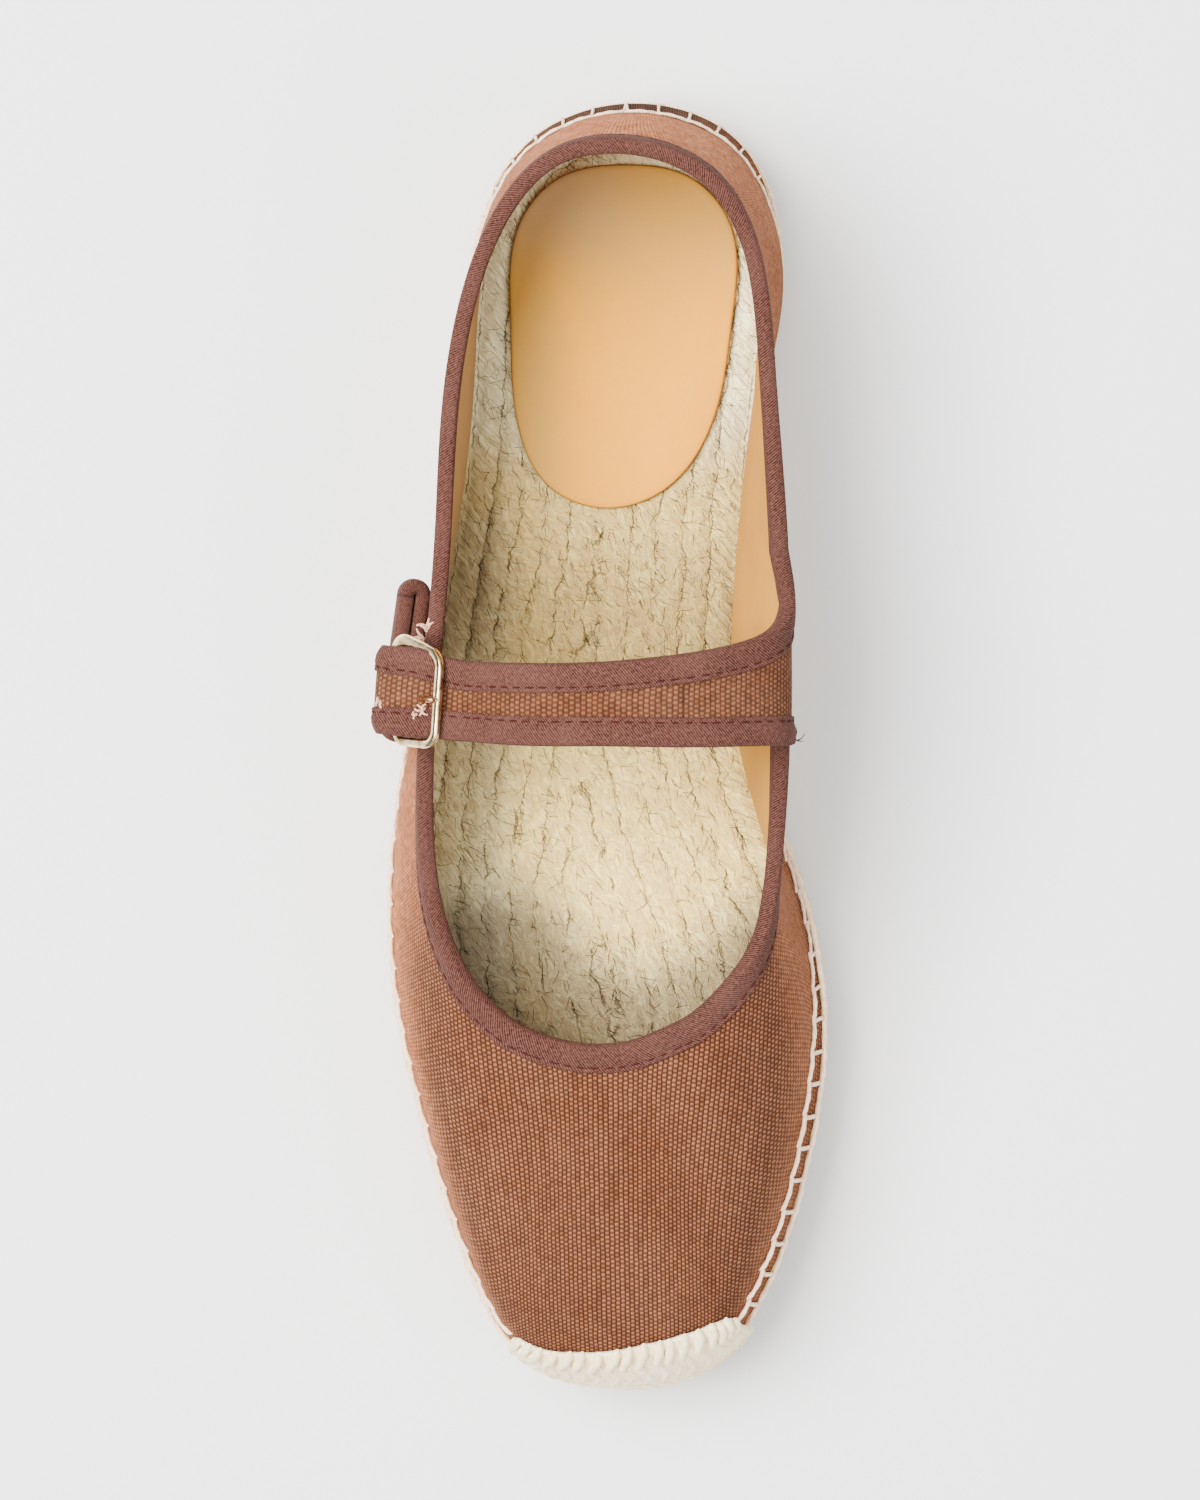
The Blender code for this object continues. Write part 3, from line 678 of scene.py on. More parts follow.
def makeDull():
    # painted shade: the front of the throat, the outer side and the waist are duller, where the vamp, the
    # outer wall and the strap shade the jute; painted light: the lit top is gold-tinted, and these and the
    # heel are less so
    tree, take, give = newGroup("juteDull", dict(Place=None), ["Dull", "PaintedLight"])
    x, y, _ = take["Place"].split()
    ahead = ((y - jute["bowlY"]) / jute["bowlLong"]).step("MINIMUM", 0.0)
    bowl = ((x - jute["bowlX"]) / jute["bowlWide"]).beside(ahead)
    reach = put(tree, "ShaderNodeVectorMath", {0: bowl}, "Value", operation="LENGTH")
    front = reach.spread(0.42, 0.8) * y.spread(*jute["frontZone"], jute["frontDull"], 0.0)
    side = x.spread(*jute["outerZone"], jute["outerDull"], 0.0) * y.spread(*jute["outerEnd"], 1.0, 0.0)
    waist = y.spread(*jute["waistZone"], 0.0, jute["waistDull"])
    waist = waist - y.spread(*jute["waistEnd"], 0.0, jute["waistLess"])
    waist = (waist - y.spread(*jute["heelEnd"], 0.0, jute["heelLess"])) * (1.0 - side)
    plain = side * jute["outerPlain"] + front * jute["frontPlain"] + y.spread(*jute["heelZone"])
    feed(give["Dull"], front.step("MAXIMUM", side) + waist)
    feed(give["PaintedLight"], 1.0 - plain.step("MINIMUM", 1.0))
    return tree


paintedShadeGroup = makeDull()


def juteLook():
    look, tree, sockets = newLook("plaitedJute", jute["finish"])
    place = shoePlace(tree)
    row, run, _ = mapPlace(tree, "plait").split()
    border = row.step("LESS_THAN", 1.0)
    inside = row.step("GREATER_THAN", jute["topFrom"])

    def laid(degrees, fine, length):
        takes = {"Vector": place, "Angle": math.radians(degrees)}
        turned = put(tree, "ShaderNodeVectorRotate", takes, rotation_type="Z_AXIS")
        return turned.fibres(fine, length)["Shade"]

    # border strands follow the edge, the rest is matted in three directions
    slant = row * (-jute["pitch"] * jute["slope"]) + run
    combed = slant.beside(row * jute["pitch"]).fibres(*jute["combed"])["Shade"]
    patches = place.cloud(0.34).spread(0.42, 0.56)
    tufts = place.cloud(0.5).spread(0.5, 0.6)
    first, second, third = [laid(*lay) for lay in jute["lays"]]
    matted = tufts.blend(patches.blend(first, second), third)
    grit = place.cloud(2.6, 2.0, 0.6) * jute["gritShare"]
    shade = grit + border.blend(matted, combed) * (1 - jute["gritShare"])
    shade = shade.spread(*jute["contrast"])
    colour = shade.tints(jute["dark"], jute["light"])
    colour = (place.fade(*jute["fades"]) * jute["fadeShare"]).tints(colour, jute["middle"])
    # painted light on the lit top of the jute, a share of it on the sole's sides, and painted shade where the
    # vamp, the outer wall and the strap shade it
    lightAndShade = useGroup(tree, paintedShadeGroup, {"Place": place})
    colour = inside.blend(jute["sideLightShare"], lightAndShade["PaintedLight"]).tints(colour, jute["paintedLightTint"], "MULTIPLY")
    colour = (lightAndShade["Dull"] * inside).tints(colour, jute["dull"], "MULTIPLY")
    # dark seams between the turns wander and break, the one beside the border turn is strong
    sway = place.cloud(0.75, 3.0, 0.65) - 0.5
    turn = sway * jute["seamSway"] + row
    gap = (turn - turn.step("ROUND")).step("ABSOLUTE")
    broken = place.cloud(0.2, 3.0).spread(0.36, 0.54, 0.0, 0.9)
    strong = (turn - 1.0).step("ABSOLUTE").step("LESS_THAN", jute["strongWide"])
    thin = place.cloud(0.4).spread(0.35, 0.65, 0.02, 0.05)
    seam = gap.spread(0.004, thin, 1.0, 0.0) * broken.step("MAXIMUM", strong * jute["strongSeam"])
    # fine cracks branch off between matted tufts
    bent = put(tree, "ShaderNodeVectorMath", {0: place, 1: sway * jute["crackSway"]}, operation="ADD")
    cells = bent.stretch((1.0, 0.55, 1.0)).cells(0.42, "DISTANCE_TO_EDGE")
    crack = cells.spread(0.0, 0.05, 1.0, 0.0) * place.cloud(0.3, 3.0).spread(0.46, 0.64, 0.0, 0.4)
    # painted shade in the grooves between the border turn's strands, so they show one by one
    groove = (slant * (math.pi / jute["strand"])).step("SINE").step("ABSOLUTE")
    groove = groove.spread(0.0, 0.35, 1.0, 0.0) * (border * jute["grooveShadeShare"])
    seam = seam.step("MAXIMUM", crack * inside).step("MAXIMUM", groove)
    feed(sockets["Base Color"], (seam * jute["seamShare"]).tints(colour, jute["seam"]))
    feed(sockets["Normal"], (shade - seam).relief(jute["relief"], jute["bite"]))
    return look


juteMaterial = juteLook()

fibre = dict(
    finish={"Roughness": 0.9, "Specular IOR Level": 0.06},
    dark=4600, pale=4600, heading=-54.0, stray=0.6, bend=0.3,
    length=(0.9, 3.0), radius=(0.04, 0.08), steps=4, sides=3, taper=0.6, lie=0.05, arch=0.25, above=60.0,
    colour=tint(96, 74, 46), shade=tint(48, 36, 22), light=tint(255, 238, 190), dull=tint(232, 204, 148),
)


def hairLook(name, low, high):
    look, tree, sockets = newLook(name, fibre["finish"])
    place = shoePlace(tree)
    colour = place.fibres(0.8, 1.0)["Shade"].tints(low, high)
    # the hairs take the same painted shade as the jute under them
    dull = useGroup(tree, paintedShadeGroup, {"Place": place})["Dull"]
    feed(sockets["Base Color"], dull.tints(colour, jute["dull"], "MULTIPLY"))
    return look


darkHairMaterial = hairLook("darkHair", fibre["shade"], fibre["colour"])
paleHairMaterial = hairLook("paleHair", fibre["dull"], fibre["light"])

stitch = dict(
    finish={"Roughness": 0.85, "Specular IOR Level": 0.15, "Sheen Weight": 0.2}, relief=0.08,
    fibres=(3.5, 1.6), patches=(0.12, 0.4, 0.75), patchShare=0.3,
    pitch=6.4, lean=0.8, radius=0.52, scallop=1.6, twist=2.6, sides=8, lobe=0.34, tuck=0.45,
    steps=13, legSteps=7, fine=6000, highest=0.4, riseSteps=41,
    overlap=0.07, jitter=0.25, slip=0.06, heave=0.5, footSlip=0.08, vary=(0.92, 1.08),
    dip=0.1, sag=0.4, sink=0.25, proud=0.85, arch=0.45, slide=0.6, legFoot=0.3, legProud=0.7, legThin=0.95,
    # the upright thread's last places: offset from the sole's outline and lift above its top
    legEnd=((-0.95, 0.85), (-0.35, 0.55)),
    cordRadius=0.58, cordTwist=3.4, cordStep=0.45, cordInset=(-0.12, -0.36), cordLift=(-0.4, 0.28),
    cordWave=0.1, cordWaveStep=0.21,
    light=tint(255, 246, 208), dark=tint(226, 198, 150),
    ladderLight=tint(255, 232, 200), ladderDark=tint(226, 180, 146),
    frayedLight=tint(230, 184, 154), frayedDark=tint(165, 110, 84),
)


def yarnLook(name, light, dark):
    look, tree, sockets = newLook(name, stitch["finish"])
    place = shoePlace(tree)
    fibres = place.fibres(*stitch["fibres"])
    colour = fibres["Shade"].tints(dark, light)
    patch = place.fade(*stitch["patches"]) * stitch["patchShare"]
    feed(sockets["Base Color"], patch.tints(colour, dark))
    feed(sockets["Normal"], fibres["Height"].relief(stitch["relief"]))
    return look


yarnMaterial = yarnLook("creamYarn", stitch["light"], stitch["dark"])
ladderMaterial = yarnLook("ladderYarn", stitch["ladderLight"], stitch["ladderDark"])
frayedMaterial = yarnLook("frayedCotton", stitch["frayedLight"], stitch["frayedDark"])

sock = dict(
    finish={"Specular IOR Level": 0.05}, grain=2.8, relief=0.06, gloss=(0.4, 0.56), thickness=1.2, round=0.5,
    crown=0.25, uneven=0.12, unevenScale=0.06,
    steps=20, rings=22, shrink=(0.95, 0.02), patches=(0.035, 0.3, 0.75), patchShare=0.55, grainShare=0.15,
    creases=(0.05, 0.35, 0.3), creaseShare=2.0, paintedShadeHeel=(76.0, 103.0), paintedShadeOuter=(-14.0, -3.0),
    deepShadeHeel=(88.0, 108.0), deepShadeOuter=(-12.0, 12.0),
    # the last tint here and the one on the next line are painted shade along the outer side and into the heel
    colour=tint(220, 150, 30), shade=tint(207, 137, 27), edge=tint(76, 52, 30), paintedShade=tint(182, 136, 58),
    deep=tint(176, 145, 98),
)


def leatherLook():
    look, tree, sockets = newLook("tanLeather", sock["finish"])
    place = shoePlace(tree)
    grain = place.grain(sock["grain"])
    colour = (place.fade(*sock["patches"]) * sock["patchShare"]).tints(sock["colour"], sock["shade"])
    colour = (grain["Shade"] * sock["grainShare"]).tints(colour, sock["shade"])
    # painted shade: duller along the outer side and into the heel, where the walls shade the sock
    x, y, _ = place.split()
    paintedShade = y.spread(*sock["paintedShadeHeel"]).step("MAXIMUM", x.spread(*sock["paintedShadeOuter"], 1.0, 0.0))
    deep = y.spread(*sock["deepShadeHeel"]) * x.spread(*sock["deepShadeOuter"], 1.0, 0.0)
    colour = deep.tints(paintedShade.tints(colour, sock["paintedShade"]), sock["deep"])
    rim = mapPlace(tree, "tone").split()[0]
    feed(sockets["Base Color"], rim.tints(colour, sock["edge"]))
    feed(sockets["Roughness"], grain["Height"].spread(0.2, 0.8, *sock["gloss"]))
    crease = place.stretch(sock["creases"]).cloud(1.0, 4.0, 0.6)
    feed(sockets["Normal"], (crease * sock["creaseShare"] + grain["Height"]).relief(sock["relief"]))
    return look


leatherMaterial = leatherLook()

buckle = dict(
    finish={"Metallic": 1.0}, relief=0.008, gloss=(0.1, 0.24),
    haze=(0.5, 0.35, 0.75), scratches=(0.6, 6.0, 6.0),
    x=-32.4, z=65.2, tilt=44.0, reach=5.4, half=8.3, corner=2.4, flare=2.4, skew=1.2, widen=0.8, wire=0.8,
    bar=(0.86, 0.66), square=0.55, barSides=20, barRoom=0.35, cornerSteps=8,
    prong=0.7, prongEnd=7.0, prongDip=0.9, prongSides=12, hookAngles=range(-60, -346, -12),
    prongFrom=0.1, prongSteps=14, point=(0.95, 0.85, 0.68, 0.35),
    colour=tint(238, 216, 172), worn=tint(156, 126, 82),
)


def brassLook():
    look, tree, sockets = newLook("paleBrass", buckle["finish"])
    place = shoePlace(tree)
    scratch = place.stretch(buckle["scratches"]).cloud(1.0, 3.0)
    feed(sockets["Base Color"], place.fade(*buckle["haze"]).tints(buckle["colour"], buckle["worn"]))
    feed(sockets["Roughness"], scratch.spread(0.35, 0.7, *buckle["gloss"]))
    feed(sockets["Normal"], scratch.relief(buckle["relief"]))
    return look


brassMaterial = brassLook()

rubber = dict(
    finish={"Roughness": 0.62, "Specular IOR Level": 0.4}, grain=1.4, relief=0.08, ring=528, columns=60,
    patches=(0.05, 0.4, 0.7), patchShare=0.35, grainShare=0.5, grooveSharp=0.5,
    tread=0.45, ripple=7.0, wave=2.2, waveLength=16.0, margin=4.0, marginFade=2.0,
    # side profile: inset from the rubber's edge and share of its height
    profile=((1.0, 0.0), (0.55, 0.02), (0.2, 0.08), (0.0, 0.2), (0.0, 0.45), (0.12, 0.5), (0.0, 0.55),
             (0.0, 0.95), (0.2, 1.0)),
    colour=tint(150, 104, 56), shade=tint(120, 80, 42), dirt=tint(110, 88, 62),
)


def rubberLook():
    look, tree, sockets = newLook("gumRubber", rubber["finish"])
    place = shoePlace(tree)
    grain = place.grain(rubber["grain"])
    colour = (grain["Shade"] * rubber["grainShare"]).tints(rubber["colour"], rubber["shade"])
    dirt = place.fade(*rubber["patches"]) * rubber["patchShare"]
    feed(sockets["Base Color"], dirt.tints(colour, rubber["dirt"]))
    feed(sockets["Normal"], grain["Height"].relief(rubber["relief"]))
    return look


rubberMaterial = rubberLook()
print("materials ready")


# strap: the same route as its solid, from the inner top edge over the instep, through the buckle to the tip

strap = dict(
    back=114.4, slant=math.radians(4.0), slantStart=-20.0, slantEnd=-30.0, half=6.3, tipRound=6.0, tipStep=8,
    tailV=(0.68, 0.52, 0.36), turns=(18.0, 45.0, 72.0, 98.0), earBlend=2.0, seamRow=4, earRows=44, rows=130,
    foldRow=6.6, foldRun=1.3, foldEnd=0.8, foldWide=2.1, foldCurl=1.1, foldSharp=4, wash=0.12,
)
# sections over the instep: x, z, toeSide, heelSide
strapTable = [
    (35.6, 57.8, 7.6, 28.4),
    (36.5, 62.5, 7.2, 20.0),
    (35.2, 67.0, 7.0, 14.5),
    (29.0, 72.0, 7.0, 10.4),
    (17.3, 75.8, 7.1, 8.0),
    (2.0, 76.6, 6.9, 6.5),
    (-12.0, 74.2, 6.9, 6.2),
]
tab = dict(
    thickness=0.9, half=4.5, columns=25, slot=3.4, slotRows=slice(14, 30), wallV=(0.82, 0.92), wallRows=6,
    angles=range(-120, 211, 10), mapStep=0.5,
)
keeper = dict(
    half=15.6, shift=6.3, wall=1.0, rolled=3.04, rollFrom=1.5, rollRun=1.6, height=8.0, v=0.58, room=0.5,
    steps=20, legSteps=40, rows=17, edgeSharp=6, edgeDrop=0.35, rolledDrop=0.9, edgeThin=0.1,
)


def strapShift(x):
    span = strap["slantStart"] - strap["slantEnd"]
    run = strap["slantStart"] - x
    steep = math.tan(strap["slant"])
    if run <= 0:
        return 0.0, 0.0
    if run < span:
        return steep * run * run / (2 * span), steep * run / span
    return steep * (run - span / 2), steep


def strapMiddle(x, z):
    return np.array([x, along(strap["back"] - strapShift(x)[0]), z])


buckleCentre = strapMiddle(buckle["x"], buckle["z"])
slantOut = np.array([math.cos(strap["slant"]), -math.sin(strap["slant"]), 0.0])
buckleTilt = math.radians(buckle["tilt"])
buckleAlong = slantOut * math.cos(buckleTilt) + upward * math.sin(buckleTilt)
buckleAcross = np.array([math.sin(strap["slant"]), math.cos(strap["slant"]), 0.0])
buckleOut = np.cross(buckleAlong, buckleAcross)


def inBuckle(forward, across, out):
    return buckleCentre + buckleAlong * forward + buckleAcross * across + buckleOut * out


outerBar = inBuckle(-buckle["reach"], 0, 0)
halfStrap = shoe["wall"] / 2 + tape["lift"]
clearUnder = buckle["wire"] + shoe["gap"] + halfStrap + buckle["barRoom"]
turnRadius = buckle["wire"] + shoe["gap"] + tab["thickness"] + shoe["gap"] + halfStrap
keeperHold = shoe["gap"] + keeper["wall"] + keeper["room"] + halfStrap


def roundBar(degrees, radius):
    angle = math.radians(degrees)
    return outerBar - slantOut * radius * math.sin(angle) + upward * radius * math.cos(angle)


def besideWall(t, v, offset):
    return upperPoint(t, v) + upperNormal(t, v) * offset


def wallAcross(t, v):
    normal = upperNormal(t, v)
    return unit(buckleAcross - normal * np.dot(buckleAcross, normal))


def strapRoute():
    places = [inBuckle(buckle["reach"], 0, -clearUnder)]
    places += [roundBar(degrees, turnRadius) for degrees in strap["turns"]]
    places += [besideWall(tailRib, v, keeperHold) for v in strap["tailV"]]
    return strapTable + [(p[0], p[2], strap["half"], strap["half"]) for p in places]


strapRows = strapRoute()
strapAt = curveThrough(strapRows, False)
tailRow = len(strapTable) + len(strap["turns"])


def strapLine(number):
    cut = strapAt(number)
    return strapMiddle(cut[0], cut[1])


def strapRow(number, nearEar, draw, columns):
    x, _, toeSide, heelSide = strapAt(number)
    fold = ease((number - strap["foldRow"]) / strap["foldRun"])
    fold = fold * (1 - ease((number - tailRow) / strap["foldEnd"]))
    across = unit(np.array([strapShift(x)[1], 1.0, 0.0]))
    across = unit(mix(across, wallAcross(tailRib, keeper["v"]), ease(number - tailRow)))
    ahead = strapLine(number + tiny) - strapLine(number - tiny)
    face = unit(np.cross(across, ahead)) * shoe["wall"] / 2 * (1 - nearEar)
    share = np.linspace(-1, 1, columns + 1)
    sides = mix(-toeSide, heelSide + strap["foldWide"] * fold, (share + 1) / 2) * draw
    curl = slantOut * (strap["foldCurl"] * fold * np.abs(share) ** strap["foldSharp"])[:, None]
    return strapLine(number) + face + across * sides[:, None] + curl


# creases: plan place, direction in degrees, length, width and depth in mm; a ridge is negative
creaseTable = [
    # x, y, direction, length, width, depth
    (-16.0, -74.0, 62.0, 34.0, 9.0, 0.5),
    (20.0, -80.0, 118.0, 30.0, 8.0, 0.45),
    (2.0, -96.0, 5.0, 26.0, 5.0, 0.35),
    (-6.0, -66.0, -8.0, 30.0, 6.0, -0.3),
    (32.0, -50.0, 80.0, 26.0, 5.0, 0.5),
    (-34.0, -52.0, 96.0, 30.0, 5.0, 0.55),
    (-36.0, -18.0, 84.0, 26.0, 4.0, 0.5),
    (8.0, -112.0, 78.0, 12.0, 3.0, 0.4),
    (-8.0, -111.0, 100.0, 12.0, 3.0, 0.35),
    (18.0, -109.0, 70.0, 12.0, 3.0, 0.35),
]
# creases of the walls: rib, height share, slant, length along the rib, width round the shoe, depth
wallCreaseTable = [
    (21.3, 0.5, 0.25, 0.34, 7.0, 0.6),
    (0.9, 0.5, -0.25, 0.34, 7.0, 0.55),
    (19.2, 0.45, 0.3, 0.3, 9.0, 0.5),
    (18.0, 0.5, -0.2, 0.35, 8.0, 0.45),
    (2.6, 0.5, 0.3, 0.3, 9.0, 0.55),
    (3.7, 0.45, -0.3, 0.3, 10.0, 0.5),
    (16.6, 0.5, 0.35, 0.3, 8.0, 0.5),
]
upper = dict(
    around=24, up=48, rowPower=1.25, canvas=0.62, liningGap=0.04, flare=0.18, leastFall=0.35,
    # the foot round the heel is darkened as painted shade
    creaseBend=0.01, ribWide=26.0, wallTall=40.0, plainFoot=0.15, plainTop=0.2, footShade=0.13, footFade=0.06,
    # the wash is washed-out canvas, and on steep walls painted sheen
    washSheenFrom=0.35, washSheenRun=0.5, washSheenBase=0.3, washSheenHeel=0.7, washSheenOuter=0.5, outerAt=6.5, outerSpan=2.2,
)


def creaseDepth(points, t, v):
    total = np.zeros(points.shape[:-1])
    for x, y, direction, length, width, depth in creaseTable:
        angle = math.radians(direction)
        dx, dy = points[..., 0] - x, points[..., 1] - y
        run = dx * math.cos(angle) + dy * math.sin(angle)
        off = -dx * math.sin(angle) + dy * math.cos(angle) - upper["creaseBend"] * run * run / 2
        total -= depth * np.exp(-(off / width) ** 2 - (run / length) ** 2)
    for rib, share, slant, length, width, depth in wallCreaseTable:
        off = ribsFrom(t, rib) * upper["ribWide"] + slant * (v - share) * upper["wallTall"]
        total -= depth * np.exp(-(off / width) ** 2 - ((v - share) / length) ** 2)
    return total * np.minimum(ease(v / upper["plainFoot"]), ease((1 - v) / upper["plainTop"]))


def drapeCloth(points, t):
    # cloth places in mm: from the top edge down each rib, so the threads keep the shoe's own directions
    steps = (points[:, :-1] - points[:, 1:])[:, ::-1]
    length = np.linalg.norm(steps, axis=-1, keepdims=True)
    outward = outline(t, 0.0)[1][:, None]
    fall = steps[..., :2] / np.maximum(length, 1e-6) + outward * upper["flare"]
    lead = (fall * outward).sum(-1, keepdims=True)
    plan = unit(fall + outward * np.maximum(upper["leastFall"] - lead, 0))
    top = points[:, -1:, :2]
    return np.concatenate([top, top + np.cumsum(plan * length, axis=1)], axis=1)[:, ::-1]


def bodyWashSheenAndShade(normal, t, v):
    # how washed out the canvas is, partly painted sheen on the steep walls, and the painted shade that
    # darkens its foot round the heel
    steep = 1 - np.clip(normal[..., 2], 0, 1)
    heel = heelShare(t)
    outerSide = np.exp(-((t - upper["outerAt"]) / upper["outerSpan"]) ** 2)
    places = upper["washSheenBase"] + upper["washSheenHeel"] * heel + upper["washSheenOuter"] * outerSide
    wash = np.clip(ease((steep - upper["washSheenFrom"]) / upper["washSheenRun"]) * places, 0, 1)
    # painted shade: the canvas foot round the heel is darker and not washed
    foot = (1 - ease((v - upper["footShade"]) / upper["footFade"])) * heel
    return np.stack([(wash * (1 - foot)).ravel(), foot.ravel()], -1)


def strapStations():
    # row number and width share from the ear to the rounded tip
    end = len(strapRows) - 1
    tip = end - strap["tipRound"] / np.linalg.norm(strapLine(end) - strapLine(end - 1))
    stations = [(strap["seamRow"] * k / strap["earRows"], 1.0) for k in range(1, strap["earRows"] + 1)]
    stations += [(mix(strap["seamRow"], tip, k / strap["rows"]), 1.0) for k in range(1, strap["rows"] + 1)]
    widest = 10 * strap["tipStep"]
    for degrees in range(strap["tipStep"], widest + 1, strap["tipStep"]):
        angle = math.radians(degrees)
        stations.append((mix(tip, end, math.sin(angle) / math.sin(math.radians(widest))), math.cos(angle)))
    return stations


def buildUpper():
    columns = upper["around"]
    t = np.arange(ribCount * columns) / columns
    v = np.linspace(0, 1, upper["up"] + 1) ** upper["rowPower"]
    body = canvasPoint(t[:, None], v[None])
    normal = upperNormal(t[:, None], v[None])
    body = body + normal * creaseDepth(body, t[:, None], v[None])[..., None]
    cloth = drapeCloth(body, t).reshape(-1, 2)
    tone = bodyWashSheenAndShade(normal, t[:, None], v[None])
    index = gridIndex(body)
    body = body.reshape(-1, 3)
    # the ear rises from the inner top edge and turns into the strap
    root = index[earRib * columns:(earRib + 1) * columns + 1, -1]
    plainRoot = strapRow(0.0, 1.0, 1.0, columns)
    stations = strapStations()
    rows, flat = [body[root]], [cloth[root]]
    for number, draw in stations:
        near = 1 - ease(number / strap["earBlend"])
        row = strapRow(number, near, draw, columns) + (body[root] - plainRoot) * near
        step = np.linalg.norm(row - rows[-1], axis=1).mean()
        rows.append(row)
        follow = flat[-1] - [step, 0]
        if number < tailRow:
            follow[:, 1] = row[:, 1]
        flat.append(follow)
    rows, flat = np.array(rows[1:]), np.array(flat[1:])
    strip = gridQuads(np.vstack([root[None], len(body) + gridIndex(rows)]).T)
    strip = strip.reshape(columns, len(stations), 4)
    ear, belt = [part.reshape(-1, 4) for part in np.split(strip, [strap["earRows"]], axis=1)]
    shares = np.repeat([float(ease(2 * number / strap["seamRow"])) for number, _ in stations], rows.shape[1])
    points = np.vstack([body, rows.reshape(-1, 3)])
    cloth = np.vstack([cloth, flat.reshape(-1, 2)])
    tone = np.vstack([tone, np.stack([np.full(len(shares), strap["wash"]), shares], -1)])
    return points, cloth, tone, np.vstack([gridQuads(index, True), ear]), belt


upperPoints, clothMap, toneMap, bodyQuads, beltQuads = buildUpper()


def cutSheet(points, quads, maps):
    used = np.unique(quads)
    place = np.full(len(points), -1)
    place[used] = np.arange(len(used))
    return points[used], place[quads], {label: values[used] for label, values in maps.items()}


def addShell(name, quads, outer, inner, look, slotName, nodes=()):
    points, faces, maps = cutSheet(upperPoints, quads, {"cloth": clothMap, "tone": toneMap})
    points, faces = shell(points, faces, outer, inner)
    doubled = {label: np.vstack([values, values]) for label, values in maps.items()}
    addPiece(name, points, faces, look, slotName, nodes, doubled)


liningFace = -upper["canvas"] - upper["liningGap"]
addShell("upperCanvas", bodyQuads, 0.0, -upper["canvas"], canvasMaterial, "washed_canvas", ["upper"])
addShell("upperLining", bodyQuads, liningFace, -shoe["wall"], liningMaterial, "tan_leather")
addShell("strapCanvas", beltQuads, 0.0, -shoe["wall"], strapCanvasMaterial, "washed_canvas", ["strap"])


# binding tape folded over the whole top edge, strap and ear included

def topLoop(quads, feather):
    start, end = openEdges(quads)
    follow = dict(zip(end.tolist(), start.tolist()))
    first = next(i for i in follow if i not in feather)
    loop = [first]
    while follow[loop[-1]] != first:
        loop.append(follow[loop[-1]])
    return loop


def smoothLoop(values, times):
    for _ in range(times):
        values = (np.roll(values, 1, 0) + values * 2 + np.roll(values, -1, 0)) / 4
    return values


def bindingLines():
    # the top edge, its normals, the way out of it, and lines on the outer face at any depth below it
    quads = np.vstack([bodyQuads, beltQuads])
    rise = upper["up"] + 1
    feather = set(range(0, ribCount * upper["around"] * rise, rise))
    edge = []
    for spot in upperPoints[topLoop(quads, feather)]:
        if not edge or np.linalg.norm(spot - edge[-1]) > tape["least"]:
            edge.append(spot)
    edge = np.array(edge)
    tree = searchTree(upperPoints, quads.tolist())

    def nearest(spots, part):
        return np.array([tree.find_nearest(Vector(p))[part] for p in spots])

    ahead = unit(smoothLoop(unit(np.roll(edge, -1, 0) - np.roll(edge, 1, 0)), 3))
    lean = unit(smoothLoop(nearest(edge, 1), 3))
    away = unit(np.cross(ahead, lean))
    flap = away * tape["flap"]
    if np.mean(nearest(edge + flap, 3) < nearest(edge - flap, 3)) > 0.5:
        away = -away

    def atDepth(depth):
        spots = edge - away * depth
        return nearest(spots, 0), unit(smoothLoop(nearest(spots, 1), 2))

    return edge, lean, away, atDepth


edgeLine, edgeLean, edgeAway, edgeDepth = bindingLines()


def buildBinding():
    flap, lift, wall = tape["flap"], tape["lift"], shoe["wall"]
    # outer profile: depth below the edge and lift off the canvas; the groove is the stitch line
    outer = [(flap, 0.03), (flap, 0.36), (flap - 0.25, 0.52), (flap - 0.6, 0.5), (flap - 0.95, 0.36),
             (flap - 1.35, 0.52), (flap - 2.0, 0.74), (1.4, 0.86), (0.5, lift)]
    rows = []
    for depth, up in outer:
        spots, normals = edgeDepth(depth)
        rows.append(spots + normals * up)
    for degrees in tape["foldAngles"]:
        angle = math.radians(degrees)
        out = edgeAway * (tape["foldOut"] + tape["foldRound"] * math.sin(angle))
        rows.append(edgeLine + out + edgeLean * ((wall / 2 + lift) * math.cos(angle) - wall / 2))
    for depth, up in reversed(outer):
        spots, normals = edgeDepth(depth * tape["innerShare"])
        rows.append(spots - normals * (wall + up))
    rows.append(edgeLine - edgeLean * (wall + tape["hold"]))
    rows.append(edgeLine + edgeAway * tape["core"] - edgeLean * wall / 2)
    rows.append(edgeLine + edgeLean * tape["hold"])
    grid = np.stack(rows, 1)
    run = runLength(edgeLine)
    across = np.concatenate([[0], np.cumsum(np.linalg.norm(np.diff(grid, axis=1), axis=-1).mean(0))])
    faces = gridQuads(gridIndex(grid), True, True)
    points = grid.reshape(-1, 3)
    a, b, c = [points[faces[:, k]] for k in range(3)]
    if np.einsum("ij,ij->i", a, np.cross(b, c)).sum() < 0:
        faces = faces[:, ::-1]
    # the twill runs on over the place where the loop closes
    place = faces // grid.shape[1]
    closing = (np.ptp(place, axis=1) > 1)[:, None] & (place == 0)
    corners = pairMap(run[:, None], across[None])[faces]
    corners[..., 0] += closing * (run[-1] + np.linalg.norm(edgeLine[0] - edgeLine[-1]))
    maps = {"cloth": corners.reshape(-1, 2)}
    addPiece("edgeBinding", points, faces, tapeMaterial, "twill_tape", ["edge_binding"], maps)


